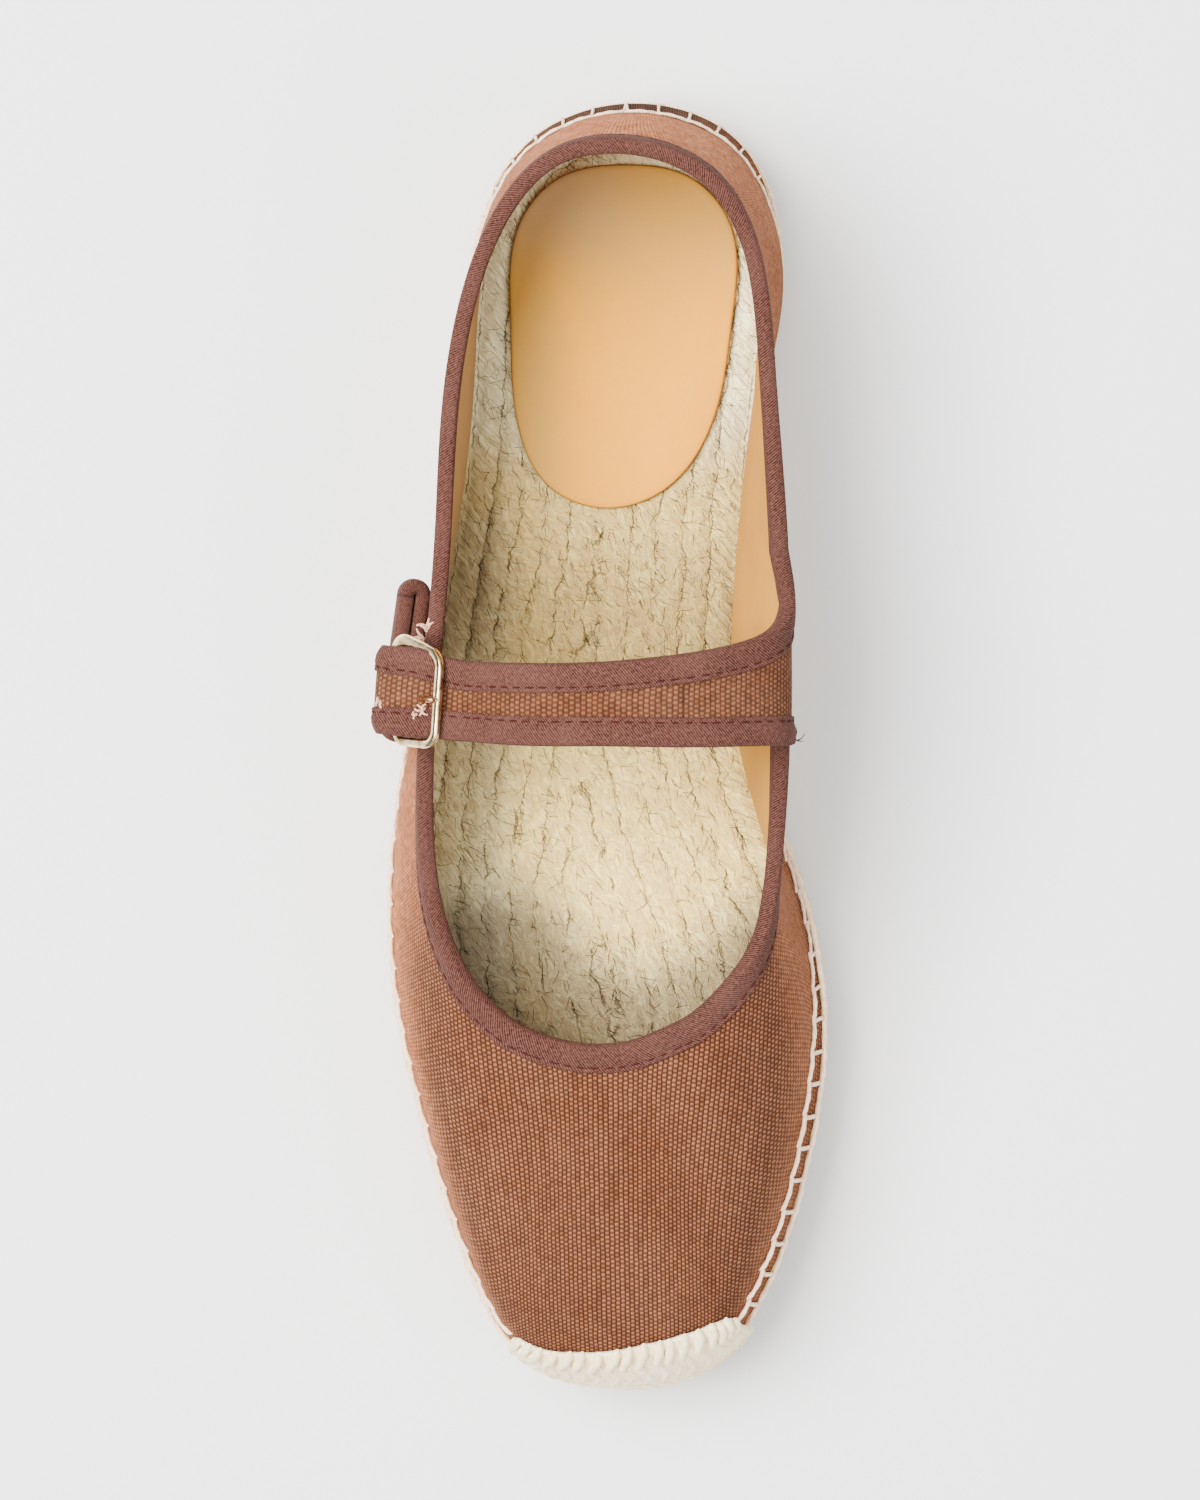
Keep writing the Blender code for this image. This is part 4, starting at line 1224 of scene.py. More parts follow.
def dashes(line, lean, length, sink):
    # short stitches along a closed line, each one curved and sunk at its ends
    closedLine, leans = np.vstack([line, line[:1]]), np.vstack([lean, lean[:1]])
    run = runLength(closedLine)
    count = int(run[-1] / thread["pitch"])
    share = np.linspace(0, 1, thread["steps"])
    bow = np.sin(share * math.pi)
    size = thread["radius"] * mix(thread["thin"], 1.0, bow)[:, None]
    made = []
    for k in range(count):
        start = (k + thread["stray"] * dice.uniform(-1, 1)) * run[-1] / count
        places = start + share * length * dice.uniform(*thread["vary"])
        tops = unit(readAlong(places, run, leans))
        lift = mix(-sink, thread["lift"], bow ** thread["arch"])
        path = readAlong(places, run, closedLine) + tops * lift[:, None]
        made.append(sweep(path, tops, roundRing(thread["sides"], size)))
    return join(made)


buildBinding()
stitchSpots, stitchTops = edgeDepth(tape["flap"] - tape["stitchDepth"])
outside = dashes(stitchSpots + stitchTops * thread["seat"], stitchTops, thread["dash"], thread["sink"])
backDash = thread["dash"] * thread["backDash"]
inside = dashes(stitchSpots - stitchTops * shoe["wall"], -stitchTops, backDash, thread["backSink"])
addPiece("bindingStitches", *join([outside, inside]), threadMaterial, "twill_tape")
print("upper, strap and binding built")


# sole

def soleNumbers(count):
    # rib numbers round the sole, even along the outer side and paired across to the inner side
    fine = np.linspace(0, toeRib, 3000)
    run = runLength(outline(fine, 0.0)[0])
    left = np.interp(np.linspace(0, run[-1], count // 2 + 1), run, fine)
    return np.concatenate([left, ribCount - left[-2:0:-1]])


def capFaces(ring, start, columns, flip):
    # rows of faces from one side of a ring to the other; new inner points are numbered from start
    half = len(ring) // 2
    index = np.empty((half + 1, columns + 1), int)
    index[0], index[half] = ring[0], ring[half]
    index[1:half, 0] = ring[1:half]
    index[1:half, -1] = ring[:half:-1]
    index[1:half, 1:-1] = start + np.arange((half - 1) * (columns - 1)).reshape(half - 1, columns - 1)
    faces = [list(dict.fromkeys(quad)) for quad in gridQuads(index).tolist()]
    return [face[::-1] if flip else face for face in faces if len(face) > 2]


def capPlan(ring, columns):
    half = len(ring) // 2
    left, right = ring[1:half], ring[:half:-1]
    share = np.linspace(0, 1, columns + 1)[1:-1]
    return left[:, None] + (right - left)[:, None] * share[None, :, None]


def rough(points, scale, seed):
    return np.array([noise.noise(Vector((p[0] * scale + seed, p[1] * scale, 0.0))) for p in points])


def scatterFibres(bed, starts):
    # loose hairs lying on the cord, mostly along its strands
    made = []
    share = np.linspace(0, 1, fibre["steps"])
    for start in starts:
        heading = math.radians(fibre["heading"]) + dice.normal(0, fibre["stray"])
        length = dice.uniform(*fibre["length"])
        turn = heading + dice.uniform(-1, 1) * fibre["bend"] * share
        plan = start + np.column_stack([np.cos(turn), np.sin(turn)]) * (share * length)[:, None]
        path = [bed.ray_cast(Vector((*spot, fibre["above"])), Vector((0, 0, -1)))[0] for spot in plan]
        if None in path:
            continue
        path = np.array(path)
        path[:, 2] += fibre["lie"] + dice.uniform(0.0, fibre["arch"]) * np.sin(share * math.pi)
        size = dice.uniform(*fibre["radius"]) * (1 - fibre["taper"] * share)[:, None]
        made.append(sweep(path, upward, roundRing(fibre["sides"], size)))
    return join(made)


def juteSide(edge, outward, run):
    # two rows of slanted strands up the side
    rings, plait = [], []
    for level in range(jute["levels"] + 1):
        h = level / jute["levels"]
        row = min(int(h * jute["sideRows"]), jute["sideRows"] - 1)
        inRow = h * jute["sideRows"] - row
        swell = abs(math.sin(math.pi * inRow))
        lean = jute["sideLean"] * (1 if row % 2 else -1)
        wave = np.abs(np.sin(math.pi * (run / jute["sideStrand"] + lean * inRow))) ** jute["sideSharp"]
        deep = jute["sideDepth"] * (swell ** jute["swellSharp"] - 1)
        deep = deep + jute["sideStrandLift"] * (wave - jute["sideMean"]) * swell
        spot = edge + outward * deep[:, None]
        low = soleFloor(spot[:, 1]) + shoe["rubber"] + shoe["gap"]
        rings.append(np.column_stack([spot, mix(low, soleTop(spot[:, 1]), h)]))
        mapRow = jute["sideMap"] + jute["sideRows"] * h
        plait.append(np.column_stack([np.full(len(run), mapRow), run * jute["sideRun"]]))
    return rings, plait


def edgeField(plan, edge):
    # nearest place of the edge and the way to it, evened out along the middle
    flat = plan.reshape(-1, 2)
    near, deep = [], []
    for k in range(0, len(flat), jute["batch"]):
        gap = np.linalg.norm(flat[k:k + jute["batch"], None] - edge[None], axis=-1)
        near.append(gap.argmin(1))
        deep.append(gap.min(1))
    field = np.concatenate(deep).reshape(plan.shape[:2])
    for _ in range(jute["smooth"]):
        inner = field[1:-1, 1:-1]
        soft = (field[1:-1, :-2] + field[1:-1, 2:] + field[:-2, 1:-1] + field[2:, 1:-1]) / 4
        field[1:-1, 1:-1] = np.where(inner > jute["smoothFrom"], soft, inner)
    return np.concatenate(near), field.ravel()


def plaitRelief(flat, deep, row, run):
    # turns of the coil with their strands, and matted fibres over them
    number = np.floor(row)
    ridge = np.abs(np.sin(math.pi * (row - number))) ** jute["ridgeSharp"]
    laid = np.where(row < 1, run - deep * jute["slope"], -flat[:, 1] - flat[:, 0] * jute["slope"])
    strandWave = np.abs(np.sin(math.pi * laid / jute["strand"])) - jute["strandMean"]
    relief = mix(jute["valley"] * np.where(row < 1.5, 1.0, jute["innerValley"]), jute["crest"], ridge)
    relief = relief + jute["strandLift"] * np.where(number == 0, jute["borderLift"], 1.0) * strandWave * ridge
    for scale, seed in jute["mats"]:
        relief = relief + jute["matted"] * rough(flat, scale, seed)
    return np.where(deep < jute["border"], jute["rim"], relief)


def buildJute():
    edge, outward = outline(soleNumbers(jute["ring"]), 0.0)
    run = runLength(np.vstack([edge, edge[:1]]))[:-1]
    rings, plait = juteSide(edge, outward, run)
    plan = capPlan(rings[-1][:, :2], jute["columns"])
    flat = plan.reshape(-1, 2)
    near, deep = edgeField(plan, edge)
    wander = sum(rough(flat, scale, seed) * size * ease((deep - start) / grow)
                 for scale, seed, size, start, grow in jute["wander"])
    row = (deep + wander - jute["border"]) / jute["pitch"]
    points = np.vstack([*rings, onSole(flat, plaitRelief(flat, deep, row, run[near]))])
    index, faces = ringWall(rings)
    faces += capFaces(index[-1], index.size, jute["columns"], False)
    faces += capFaces(index[0], 0, 1, True)
    maps = {"plait": np.vstack([*plait, np.column_stack([row, run[near]])])}
    addPiece("juteSole", points, faces, juteMaterial, "plaited_jute", ["jute_sole"], maps)
    # hairs: the dark ones gather along the seams
    bed = searchTree(points, faces)
    seams = np.exp(-((row - np.round(row)) / jute["seamWide"]) ** 2) * (row > 0.5)
    inside = (deep > jute["border"] + jute["inset"]).astype(float)
    hairs = (("darkFibres", darkHairMaterial, fibre["dark"], jute["seamPull"]),
             ("paleFibres", paleHairMaterial, fibre["pale"], 0.0))
    for name, look, count, pull in hairs:
        chance = inside * (1 + pull * seams)
        starts = flat[dice.choice(len(flat), count, p=chance / chance.sum())]
        starts = starts + dice.uniform(-jute["scatter"], jute["scatter"], (count, 2))
        addPiece(name, *scatterFibres(bed, starts), look, "plaited_jute")


def buildOutsole():
    t = soleNumbers(rubber["ring"])
    rings = []
    for inset, h in rubber["profile"]:
        spot = outline(t, -shoe["rubberInset"] - inset)[0]
        rings.append(np.column_stack([spot, soleFloor(spot[:, 1]) + shoe["rubber"] * h]))
    edge = rings[0][:, :2]
    flat = capPlan(edge, rubber["columns"]).reshape(-1, 2)
    rim = np.array([np.linalg.norm(edge - p, axis=1).min() for p in flat])
    wave = flat[:, 1] + rubber["wave"] * np.sin(flat[:, 0] * math.tau / rubber["waveLength"])
    groove = np.abs(np.sin(math.pi * wave / rubber["ripple"])) ** rubber["grooveSharp"]
    groove = rubber["tread"] * (1 - groove) * ease((rim - rubber["margin"]) / rubber["marginFade"])
    inner = np.column_stack([flat, soleFloor(flat[:, 1]) + groove])
    index, faces = ringWall(rings)
    faces += capFaces(index[-1], 0, 1, False)
    faces += capFaces(index[0], index.size, rubber["columns"], True)
    points = np.vstack([*rings, inner])
    addPiece("rubberOutsole", points, faces, rubberMaterial, "natural_rubber", ["outsole"])


# heel sock outline: x, back
sockTable = [
    (3.5, 12.0), (-9.0, 14.5), (-16.5, 23.0), (-18.4, 42.0), (-17.4, 60.0), (-11.0, 74.0),
    (0.5, 78.3), (12.5, 74.0), (21.4, 60.0), (24.6, 42.0), (24.0, 23.0), (16.5, 14.5),
]


def buildSock():
    edge = curveThrough(sockTable, True)(np.arange(len(sockTable) * sock["steps"]) / sock["steps"])
    edge = np.column_stack([edge[:, 0], along(edge[:, 1])])
    middle = edge.mean(0)
    inward = unit(middle - edge)
    thick = sock["thickness"]
    # inset, height and darkness of the cut edge
    profile = [(0.0, 0.0, 1.0), (0.0, thick - sock["round"], 0.8), (0.12, thick - 0.22, 0.45),
               (0.3, thick - 0.08, 0.18), (0.6, thick, 0.05)]
    rings, tone = [], []
    for inset, lift, dark in profile:
        rings.append(onSole(edge + inward * inset, shoe["gap"] + lift))
        tone.append(np.tile([dark, 0.0], (len(edge), 1)))
    for shrink in np.linspace(*sock["shrink"], sock["rings"]):
        spot = middle + (edge - middle) * shrink
        lift = thick + sock["crown"] * (1 - shrink ** 2)
        lift = lift + sock["uneven"] * rough(spot, sock["unevenScale"], 2.0)
        rings.append(onSole(spot, shoe["gap"] + lift))
        tone.append(np.zeros((len(edge), 2)))
    index, faces = ringWall(rings)
    faces += [index[-1].tolist(), index[0, ::-1].tolist()]
    maps = {"tone": np.vstack(tone)}
    addPiece("heelSock", np.vstack(rings), faces, leatherMaterial, "tan_leather", ["heel_sock"], maps)


buildJute()
buildOutsole()
buildSock()
print("sole built")


# cream yarn: ladder stitches round the feather edge, and the toe cap

# ladder round the sole: rib number, rise of the long thread, its thickness share, that of the cord
ladderTable = [
    (0.0, 7.0, 0.68, 0.45), (1.0, 6.8, 0.72, 0.5), (2.2, 6.2, 1.0, 1.0), (14.6, 6.2, 1.0, 1.0),
    (15.2, 3.4, 0.9, 1.0), (15.7, 0.9, 0.75, 1.0), (16.2, 0.4, 0.7, 1.0), (18.8, 0.4, 0.7, 0.8),
    (19.6, 1.2, 0.5, 0.45), (20.4, 4.0, 0.6, 0.45), (21.0, 6.4, 0.68, 0.45), (22.0, 7.0, 0.68, 0.45),
]
cap = dict(
    low=0.06, drop=6.5, base=0.8, wide=80, tall=28, loops=18, rowStep=0.22, loopRun=0.26, lean=0.3, twist=3.2,
    radii=(1.08, 0.9, 0.85, 0.8), lifts=(0.42, -0.28, -0.42, -0.48), tuck=-0.6,
    margin=0.02, offset=0.25, stray=0.14, over=0.02, leanVary=(0.7, 1.15), liftVary=(0.85, 1.1),
    vary=(0.9, 1.08), dropSteps=(1.0, 0.66, 0.33, 0.05), riseFrom=0.25, riseSteps=6, smooth=2,
    turns=(0.04, 0.14), turnRadius=0.8, turnTwist=3.0, turnSink=0.1, turnSteps=150,
)
# upper edge of the cap from the outer to the inner side: rib number, height share
capTable = [
    (9.88, 0.15), (10.0, 0.19), (10.3, 0.217), (10.62, 0.257), (11.0, 0.283), (11.3, 0.303), (11.65, 0.303),
    (12.0, 0.275), (12.3, 0.23), (12.45, 0.17),
]
capStart, capEnd = capTable[0][0], capTable[-1][0]


def ladderAt(t):
    ribs, *columns = np.transpose(ladderTable)
    return [np.interp(t, ribs, column) for column in columns]


def yarn(path, lean, radius, twist, closed=False):
    # two strands laid round each other: the section has two lobes that turn along the path
    angle = np.arange(stitch["sides"]) * math.tau / stitch["sides"]
    phase = runLength(path)[:, None] * math.tau / twist
    if closed:
        phase = phase * round(phase[-1, 0] / math.tau) / (phase[-1, 0] / math.tau)
    size = radius * (1 - stitch["lobe"] * np.sin(angle[None] - phase / 2) ** 2)
    if not closed:
        size[[0, -1]] *= stitch["tuck"]
    return sweep(path, lean, roundRing(stitch["sides"], size), closed)


def onCanvas(t, rise, lift):
    # places on the canvas at a height above the sole, measured along the cloth
    v = np.linspace(0, stitch["highest"], stitch["riseSteps"])
    lines = canvasPoint(t[:, None], v[None])
    share = np.array([np.interp(r, runLength(line), v) for r, line in zip(rise, lines)])
    normal = upperNormal(t, share)
    return canvasPoint(t, share) + normal * np.asarray(lift)[:, None], normal


def buildStitches():
    fine = np.linspace(0, ribCount, stitch["fine"])
    run = runLength(outline(fine, 0.0)[0])
    count = round(run[-1] / stitch["pitch"])
    pitch = run[-1] / count
    share = np.linspace(0, 1, stitch["steps"])
    bow = np.sin(share * math.pi)
    down = np.linspace(0, 1, stitch["legSteps"])
    offsets, lifts = np.transpose(stitch["legEnd"])
    made = []
    for k in range(count):
        middle = np.interp((k + 0.5) * pitch, run, fine)
        if capStart + cap["margin"] < middle < capEnd - cap["margin"]:
            continue
        inner = middle > toeRib
        order = share if inner else share[::-1]
        jitter = dice.uniform(-stitch["jitter"], stitch["jitter"], 3)
        reach = order * (1 + 2 * stitch["overlap"]) - stitch["overlap"]
        places = (k + reach + jitter[0] * stitch["slip"]) * pitch
        t = np.interp(places % run[-1], run, fine)
        heel = float(heelShare(middle))
        high, thick, _ = ladderAt(middle)
        thick = thick * stitch["radius"]
        rise = mix(high + stitch["lean"] * (1 - heel), high - stitch["dip"], share)
        rise = rise + jitter[1] * stitch["heave"] + stitch["scallop"] * heel * (bow - stitch["sag"])
        lift = mix(-stitch["sink"], stitch["proud"] * thick, bow ** stitch["arch"])
        path, normal = onCanvas(t, rise, lift)
        made.append(yarn(path, normal, thick * dice.uniform(*stitch["vary"]), stitch["twist"]))
        # upright thread from the long thread over the edge into the side of the sole
        foot = (k + (1.0 if inner else 0.0) + jitter[2] * stitch["footSlip"]) * pitch
        slide = stitch["slide"] * (-1 if inner else 1)
        t = np.interp((foot + slide * (1 - down)) % run[-1], run, fine)
        rise = mix(high + stitch["dip"], stitch["legFoot"], down)
        path, normal = onCanvas(t, rise, mix(stitch["proud"], stitch["legProud"], down) * thick)
        edge, outward = outline(t[-1:].repeat(2), offsets)
        path = np.vstack([path, onSole(edge, lifts)])
        normal = np.vstack([normal, np.column_stack([outward, np.ones(2)])])
        made.append(yarn(path, normal, thick * stitch["legThin"], stitch["twist"]))
    addPiece("ladderStitches", *join(made), ladderMaterial, "cotton_yarn")
    # the cord that lies in the corner between canvas and sole
    length = round(run[-1] / stitch["cordStep"])
    t = np.interp(np.arange(length) * run[-1] / length, run, fine)
    thick = ladderAt(t)[2]
    wave = stitch["cordWave"] * np.sin(np.arange(length) * stitch["cordWaveStep"])
    edge = outline(t, mix(*stitch["cordInset"], thick) + wave)[0]
    path = onSole(edge, mix(*stitch["cordLift"], thick))
    cord = yarn(path, upward, stitch["cordRadius"] * thick[:, None], stitch["cordTwist"], True)
    addPiece("edgeCord", *cord, ladderMaterial, "cotton_yarn")


def capGrid(shares, ws):
    # surface under the toe cap: w runs from the side of the sole up to the edge on the vamp
    lines = []
    for share in shares:
        number = mix(capStart, capEnd, (share + 1) / 2)
        spot = outline(number, shoe["gap"])[0]
        top = float(soleTop(spot[1]))
        rise = np.interp(number, *np.transpose(capTable))
        v = mix(cap["low"], rise, np.linspace(cap["riseFrom"], 1, cap["riseSteps"]))
        low = np.array([[*spot, top - cap["drop"] * k] for k in cap["dropSteps"]])
        line = np.vstack([low, besideWall(number, v, shoe["gap"])])
        for _ in range(cap["smooth"]):
            line[1:-1] = (line[:-2] + line[1:-1] * 2 + line[2:]) / 4
        run = runLength(line)
        lines.append(readAlong(ws * run[-1], run, line))
    return np.array(lines)


def buildCap():
    wide, tall = cap["wide"], cap["tall"]
    grid = capGrid(np.linspace(-1, 1, wide + 1), np.linspace(0, 1, tall + 1))
    quads = gridQuads(gridIndex(grid))
    sheet = grid.reshape(-1, 3)
    normal = vertexNormals(sheet, quads).reshape(grid.shape)

    def onCap(share, w, lift):
        i, j = (np.clip(share, -1, 1) + 1) * wide / 2, np.clip(w, 0, 1) * tall
        i0, j0 = np.minimum(i.astype(int), wide - 1), np.minimum(j.astype(int), tall - 1)
        fi, fj = (i - i0)[:, None], (j - j0)[:, None]

        def read(field):
            low = mix(field[i0, j0], field[i0 + 1, j0], fi)
            return mix(low, mix(field[i0, j0 + 1], field[i0 + 1, j0 + 1], fi), fj)

        way = unit(read(normal))
        return read(grid) + way * np.reshape(lift, (-1, 1)), way

    under, underFaces = shell(sheet, quads, cap["base"], 0.0)
    made = [(under, underFaces.tolist())]
    bow = np.linspace(0, 1, stitch["steps"])
    step = 2 / cap["loops"]
    for level, (radius, height) in enumerate(zip(cap["radii"], cap["lifts"])):
        top, lean = 1.0 - level * cap["rowStep"], cap["lean"] * (1 if level % 2 else -1)
        for k in range(cap["loops"]):
            shift = 0.5 + cap["offset"] * (level % 2) + dice.uniform(-cap["stray"], cap["stray"])
            sway = lean * dice.uniform(*cap["leanVary"]) * np.sin((bow - 0.5) * math.pi)
            share = -1 + (k + shift + sway) * step
            w = mix(top + cap["over"], top - cap["loopRun"], bow) + dice.uniform(-cap["over"], cap["over"])
            arch = mix(cap["tuck"], height * dice.uniform(*cap["liftVary"]), np.sin(bow * math.pi) ** 0.5)
            path, way = onCap(share, w, cap["base"] + arch)
            made.append(yarn(path, way, radius * dice.uniform(*cap["vary"]), cap["twist"]))
    # flat turns of yarn laid along the lower front
    share = np.linspace(-1, 1, cap["turnSteps"])
    for w in cap["turns"]:
        path, way = onCap(share, np.full(len(share), w), cap["base"] - cap["turnSink"])
        made.append(yarn(path, way, cap["turnRadius"], cap["turnTwist"]))
    addPiece("toeCap", *join(made), yarnMaterial, "cotton_yarn", ["toe_cap"])


buildStitches()
buildCap()
print("yarn built")


# buckle, its tab and the keeper

def buildFrame():
    line, wide, corner, reach = [], [], buckle["corner"], buckle["reach"]
    for turn, (sx, sy) in enumerate(((1, 1), (-1, 1), (-1, -1), (1, -1))):
        for k in range(buckle["cornerSteps"] + 1):
            angle = math.radians(90 * (turn + k / buckle["cornerSteps"]))
            forward = sx * (reach - corner) + corner * math.cos(angle)
            across = sy * (buckle["half"] - corner) + corner * math.sin(angle)
            # the heel side flares out towards the outer bar
            far = (reach - forward) / (2 * reach) if sy > 0 else 0.0
            line.append(inBuckle(forward - buckle["skew"] * far, across + buckle["flare"] * far, 0))
            wide.append((1 + buckle["widen"] * far, 1.0))
    # flat bar section with rounded corners
    ring = roundRing(buckle["barSides"], 1.0)
    ring = np.sign(ring) * np.abs(ring) ** buckle["square"]
    rings = ring[None] * np.array(buckle["bar"]) * np.array(wide)[:, None]
    made = sweep(np.array(line), buckleOut, rings, True)
    addPiece("buckleFrame", *made, brassMaterial, "pale_brass", ["buckle_frame"])


def buildProng():
    hook = buckle["wire"] + shoe["gap"] + buckle["prong"]
    line = []
    for degrees in buckle["hookAngles"]:
        angle = math.radians(degrees)
        line.append(inBuckle(-buckle["reach"] + hook * math.cos(angle), 0, hook * math.sin(angle)))
    start, tip = line[-1], inBuckle(buckle["prongEnd"], 0, hook)
    for share in np.linspace(buckle["prongFrom"], 1, buckle["prongSteps"]):
        line.append(mix(start, tip, share) - buckleOut * buckle["prongDip"] * math.sin(share * math.pi))
    size = np.full((len(line), 1), buckle["prong"])
    size[-len(buckle["point"]):, 0] *= buckle["point"]
    made = sweep(np.array(line), buckleAcross, roundRing(buckle["prongSides"], size))
    addPiece("buckleProng", *made, brassMaterial, "pale_brass", ["buckle_prong"])


def buildTab():
    half = tab["thickness"] / 2
    onWall, onBar = tape["lift"] + shoe["gap"] + half, buckle["wire"] + shoe["gap"] + half
    path = [(besideWall(tailRib, v, onWall), wallAcross(tailRib, v))
            for v in np.linspace(*tab["wallV"], tab["wallRows"])]
    path += [(roundBar(degrees, onBar), buckleAcross) for degrees in tab["angles"]]
    sides = np.linspace(-tab["half"], tab["half"], tab["columns"])
    grid = np.array([spot + across * sides[:, None] for spot, across in path])
    quads = gridQuads(gridIndex(grid)).reshape(len(path) - 1, tab["columns"] - 1, 4)
    # the prong comes through a slot
    slotOpen = np.zeros(quads.shape[:2], bool)
    slotOpen[tab["slotRows"]] = np.abs(sides[1:] + sides[:-1])[None] / 2 < tab["slot"] / 2
    maps = {"cloth": pairMap(np.arange(len(path))[:, None] * tab["mapStep"], sides[None])}
    points, quads, maps = cutSheet(grid.reshape(-1, 3), quads[~slotOpen], maps)
    points, faces = shell(points, quads, half, -half)
    maps = {"cloth": np.vstack([maps["cloth"]] * 2)}
    addPiece("buckleTab", points, faces, tapeMaterial, "twill_tape", ["buckle_tab"], maps)


def buildKeeper():
    spot, normal = upperPoint(tailRib, keeper["v"]), upperNormal(tailRib, keeper["v"])
    across = wallAcross(tailRib, keeper["v"])
    rising = np.cross(across, normal)
    rising = rising if rising[2] > 0 else -rising
    middle = spot + normal * keeperHold + across * keeper["shift"]
    radius = halfStrap + keeper["room"] + keeper["wall"]
    straight = keeper["half"] - radius
    line = []
    for side in (1, -1):
        for k in range(keeper["steps"] + 1):
            angle = math.pi * k / keeper["steps"]
            reach = side * (straight + radius * math.sin(angle))
            line.append(middle + normal * side * radius * math.cos(angle) + across * reach)
        shares = np.linspace(0, 1, keeper["legSteps"])[1:-1, None]
        line += list(line[-1] - across * side * 2 * straight * shares)
    line = np.array(line)
    lifts = np.linspace(-0.5, 0.5, keeper["rows"]) * keeper["height"]
    grid = line[:, None] + rising * lifts[None, :, None]
    quads = gridQuads(gridIndex(grid), True)
    points = grid.reshape(-1, 3)
    if np.dot(vertexNormals(points, quads)[0], normal) < 0:
        quads = quads[:, ::-1]
    # the free side is rolled thick, and all edges are rounded
    free = (line - middle) @ across + keeper["shift"]
    rolled = ease((free - strap["half"] - keeper["rollFrom"]) / keeper["rollRun"])
    wall = mix(keeper["wall"], keeper["rolled"], rolled)
    edge = np.abs(lifts / lifts[-1]) ** keeper["edgeSharp"]
    drop = np.outer(mix(keeper["edgeDrop"], keeper["rolledDrop"], rolled), edge)
    points, faces = shell(points, quads, -drop, -np.outer(wall, 1 - keeper["edgeThin"] * edge))
    run = runLength(line)[:, None]
    cloth = np.vstack([pairMap(run, lifts[None]), pairMap(run, lifts + np.sign(lifts) * wall[:, None])])
    addPiece("strapKeeper", points, faces, tapeMaterial, "twill_tape", ["strap_keeper"], {"cloth": cloth})


# loose threads: x, y, z, heading in degrees, number, length
loose = dict(
    steps=8, sides=6, taper=0.5, stray=0.7, bend=1.3, scatter=0.22,
    lengthVary=(0.6, 1.2), riseVary=(0.2, 1.0), curve=0.8,
    frayed=[
        (-31.2, 8.7, 67.2, 200.0, 5, 1.4),
        (-33.0, 7.7, 67.1, 190.0, 3, 1.1),
        (-39.6, 10.2, 64.6, 170.0, 3, 1.2),
        (-32.2, 22.1, 57.9, 215.0, 9, 2.0),
        (-31.4, 23.4, 57.6, 120.0, 6, 1.8),
    ],
    frayedRadius=0.3, frayedRise=1.0,
    strays=[(37.2, 3.6, 58.3, -35.0, 4, 2.6)],
    strayRadius=0.14, strayRise=0.8,
)


def looseThreads(table, radius, rising):
    made = []
    share = np.linspace(0, 1, loose["steps"])
    size = radius * (1 - loose["taper"] * share)[:, None]
    for x, y, z, heading, number, length in table:
        for _ in range(number):
            turn = math.radians(heading) + dice.normal(0, loose["stray"])
            turn = turn + dice.uniform(-loose["bend"], loose["bend"]) * share
            far = length * dice.uniform(*loose["lengthVary"]) * share
            lift = rising * dice.uniform(*loose["riseVary"]) * np.sin(share * math.pi * loose["curve"])
            path = np.array([x, y, z]) + np.column_stack([np.cos(turn) * far, np.sin(turn) * far, lift])
            path = path + dice.normal(0, loose["scatter"], 3)
            made.append(sweep(path, upward, roundRing(loose["sides"], size)))
    return join(made)


buildFrame()
buildProng()
buildTab()
buildKeeper()
frayed = looseThreads(loose["frayed"], loose["frayedRadius"], loose["frayedRise"])
addPiece("frayedThreads", *frayed, frayedMaterial, "cotton_yarn")
strays = looseThreads(loose["strays"], loose["strayRadius"], loose["strayRise"])
addPiece("strayThreads", *strays, threadMaterial, "twill_tape")
print("buckle built")


# floor, light and camera

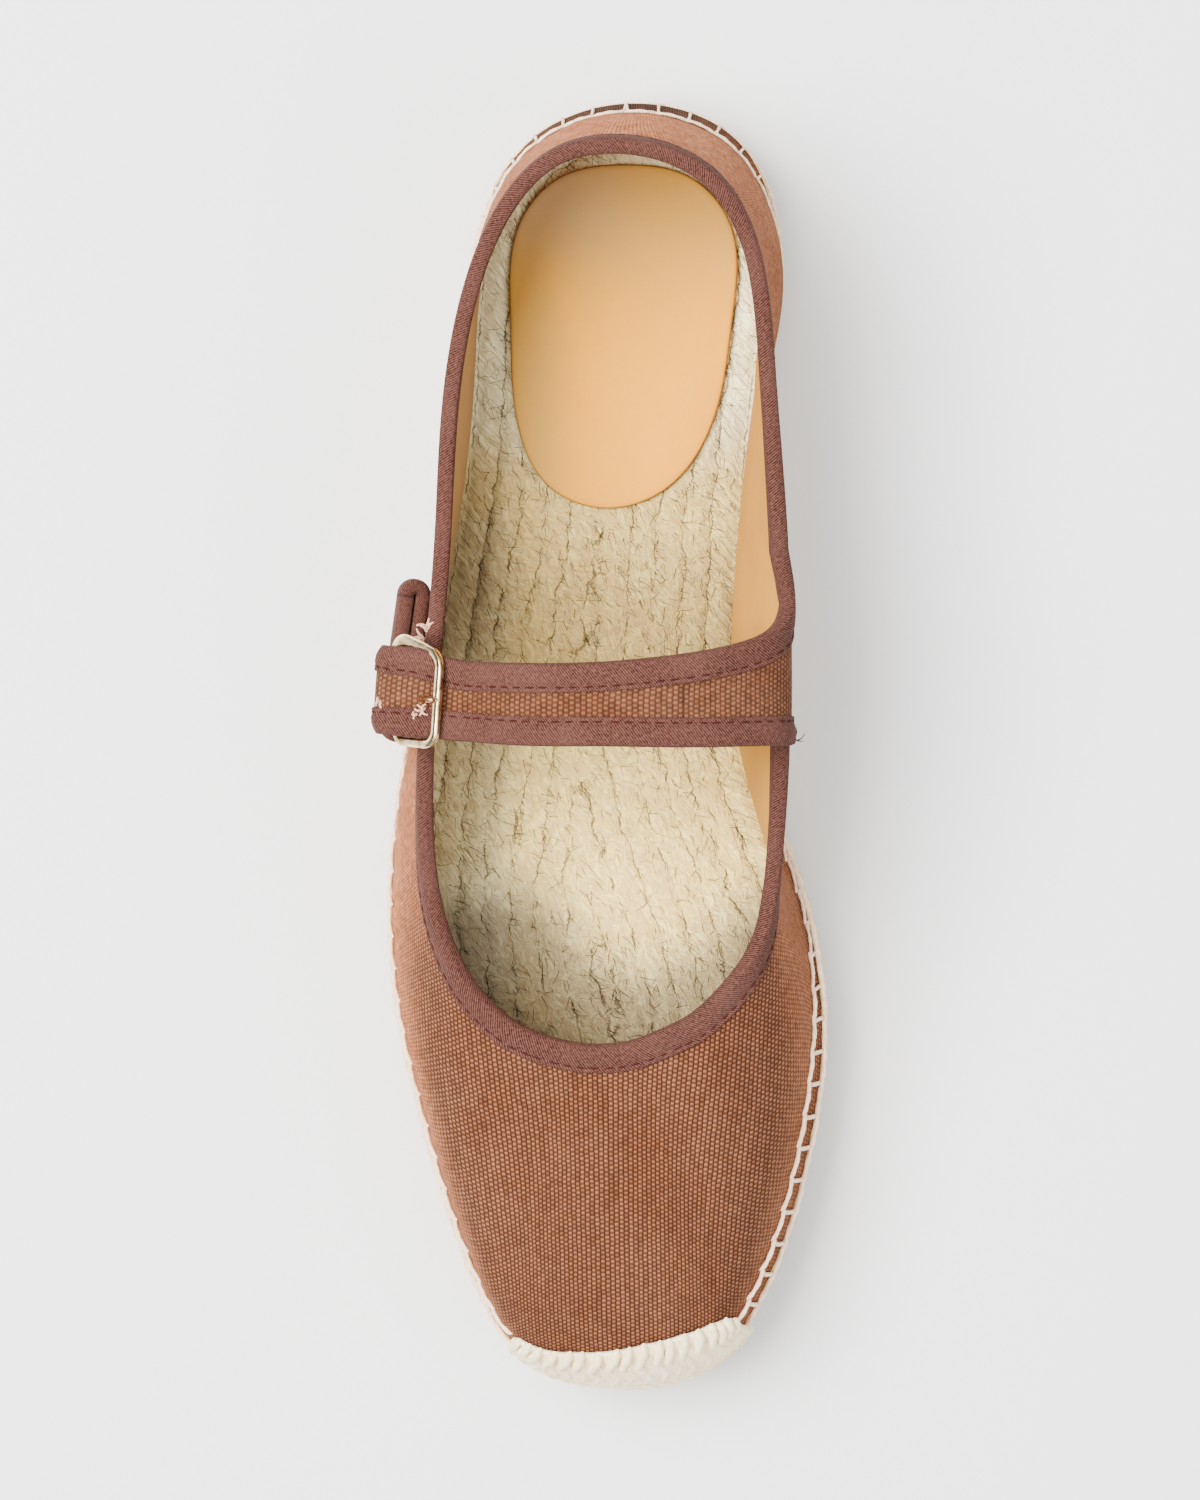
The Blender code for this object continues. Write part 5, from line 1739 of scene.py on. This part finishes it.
stage = dict(
    half=5.0, finish={"Roughness": 0.8, "Base Color": tint(229, 229, 230)},
    sky=1.75, horizon=tint(64, 62, 60), zenith=tint(255, 255, 255), aim=(0, 0, 0.02),
)
lights = dict(
    keyLight=dict(place=(-0.5, 0.15, 1.13), size=0.8, energy=63.0, color=(1.0, 0.985, 0.96)),
    fillLight=dict(place=(0.7, -0.5, 0.9), size=0.9, energy=9.0, color=(0.97, 0.985, 1.0)),
)
view = dict(place=(56.0, 36.8, 1060.0), aim=(-0.5, 0.0, 30.0), tall=288.0, sensor=36.0)


def addLight(name, place, **settings):
    data = bpy.data.lights.new(name, "AREA")
    for key, value in settings.items():
        setattr(data, key, value)
    lamp = bpy.data.objects.new(name, data)
    lamp.location = place
    lamp.rotation_euler = (Vector(stage["aim"]) - Vector(place)).to_track_quat("-Z", "Y").to_euler()
    scene.collection.objects.link(lamp)


def setStage():
    mesh = bpy.data.meshes.new("floor")
    corners = [(x * stage["half"], y * stage["half"], 0) for x, y in ((-1, -1), (1, -1), (1, 1), (-1, 1))]
    mesh.from_pydata(corners, [], [(0, 1, 2, 3)])
    mesh.materials.append(newLook("paleFloor", stage["finish"])[0])
    floor = bpy.data.objects.new("floor", mesh)
    scene.collection.objects.link(floor)
    # a sky that is bright overhead
    world = bpy.data.worlds.new("studio")
    scene.world = world
    world.use_nodes = True
    back = world.node_tree.nodes["Background"].inputs
    high = put(world.node_tree, "ShaderNodeTexCoord", {}, "Generated").split()[2]
    feed(back[0], high.spread(0.05, 0.85).tints(stage["horizon"], stage["zenith"]))
    back[1].default_value = stage["sky"]
    for name, settings in lights.items():
        addLight(name, **settings)


def setCamera():
    data = bpy.data.cameras.new("photoCamera")
    place, aim = Vector(view["place"]) * mm, Vector(view["aim"]) * mm
    data.sensor_width = view["sensor"]
    data.lens = view["sensor"] * (place - aim).length / (view["tall"] * mm)
    data.clip_start = 0.01
    eye = bpy.data.objects.new("photoCamera", data)
    back = (place - aim).normalized()
    side = Vector((0, 1, 0)).cross(back).normalized()
    turned = Matrix((side, back.cross(side), back)).transposed().to_4x4()
    eye.matrix_world = Matrix.Translation(place) @ turned
    scene.collection.objects.link(eye)
    scene.camera = eye


setStage()
setCamera()
print("scene ready")
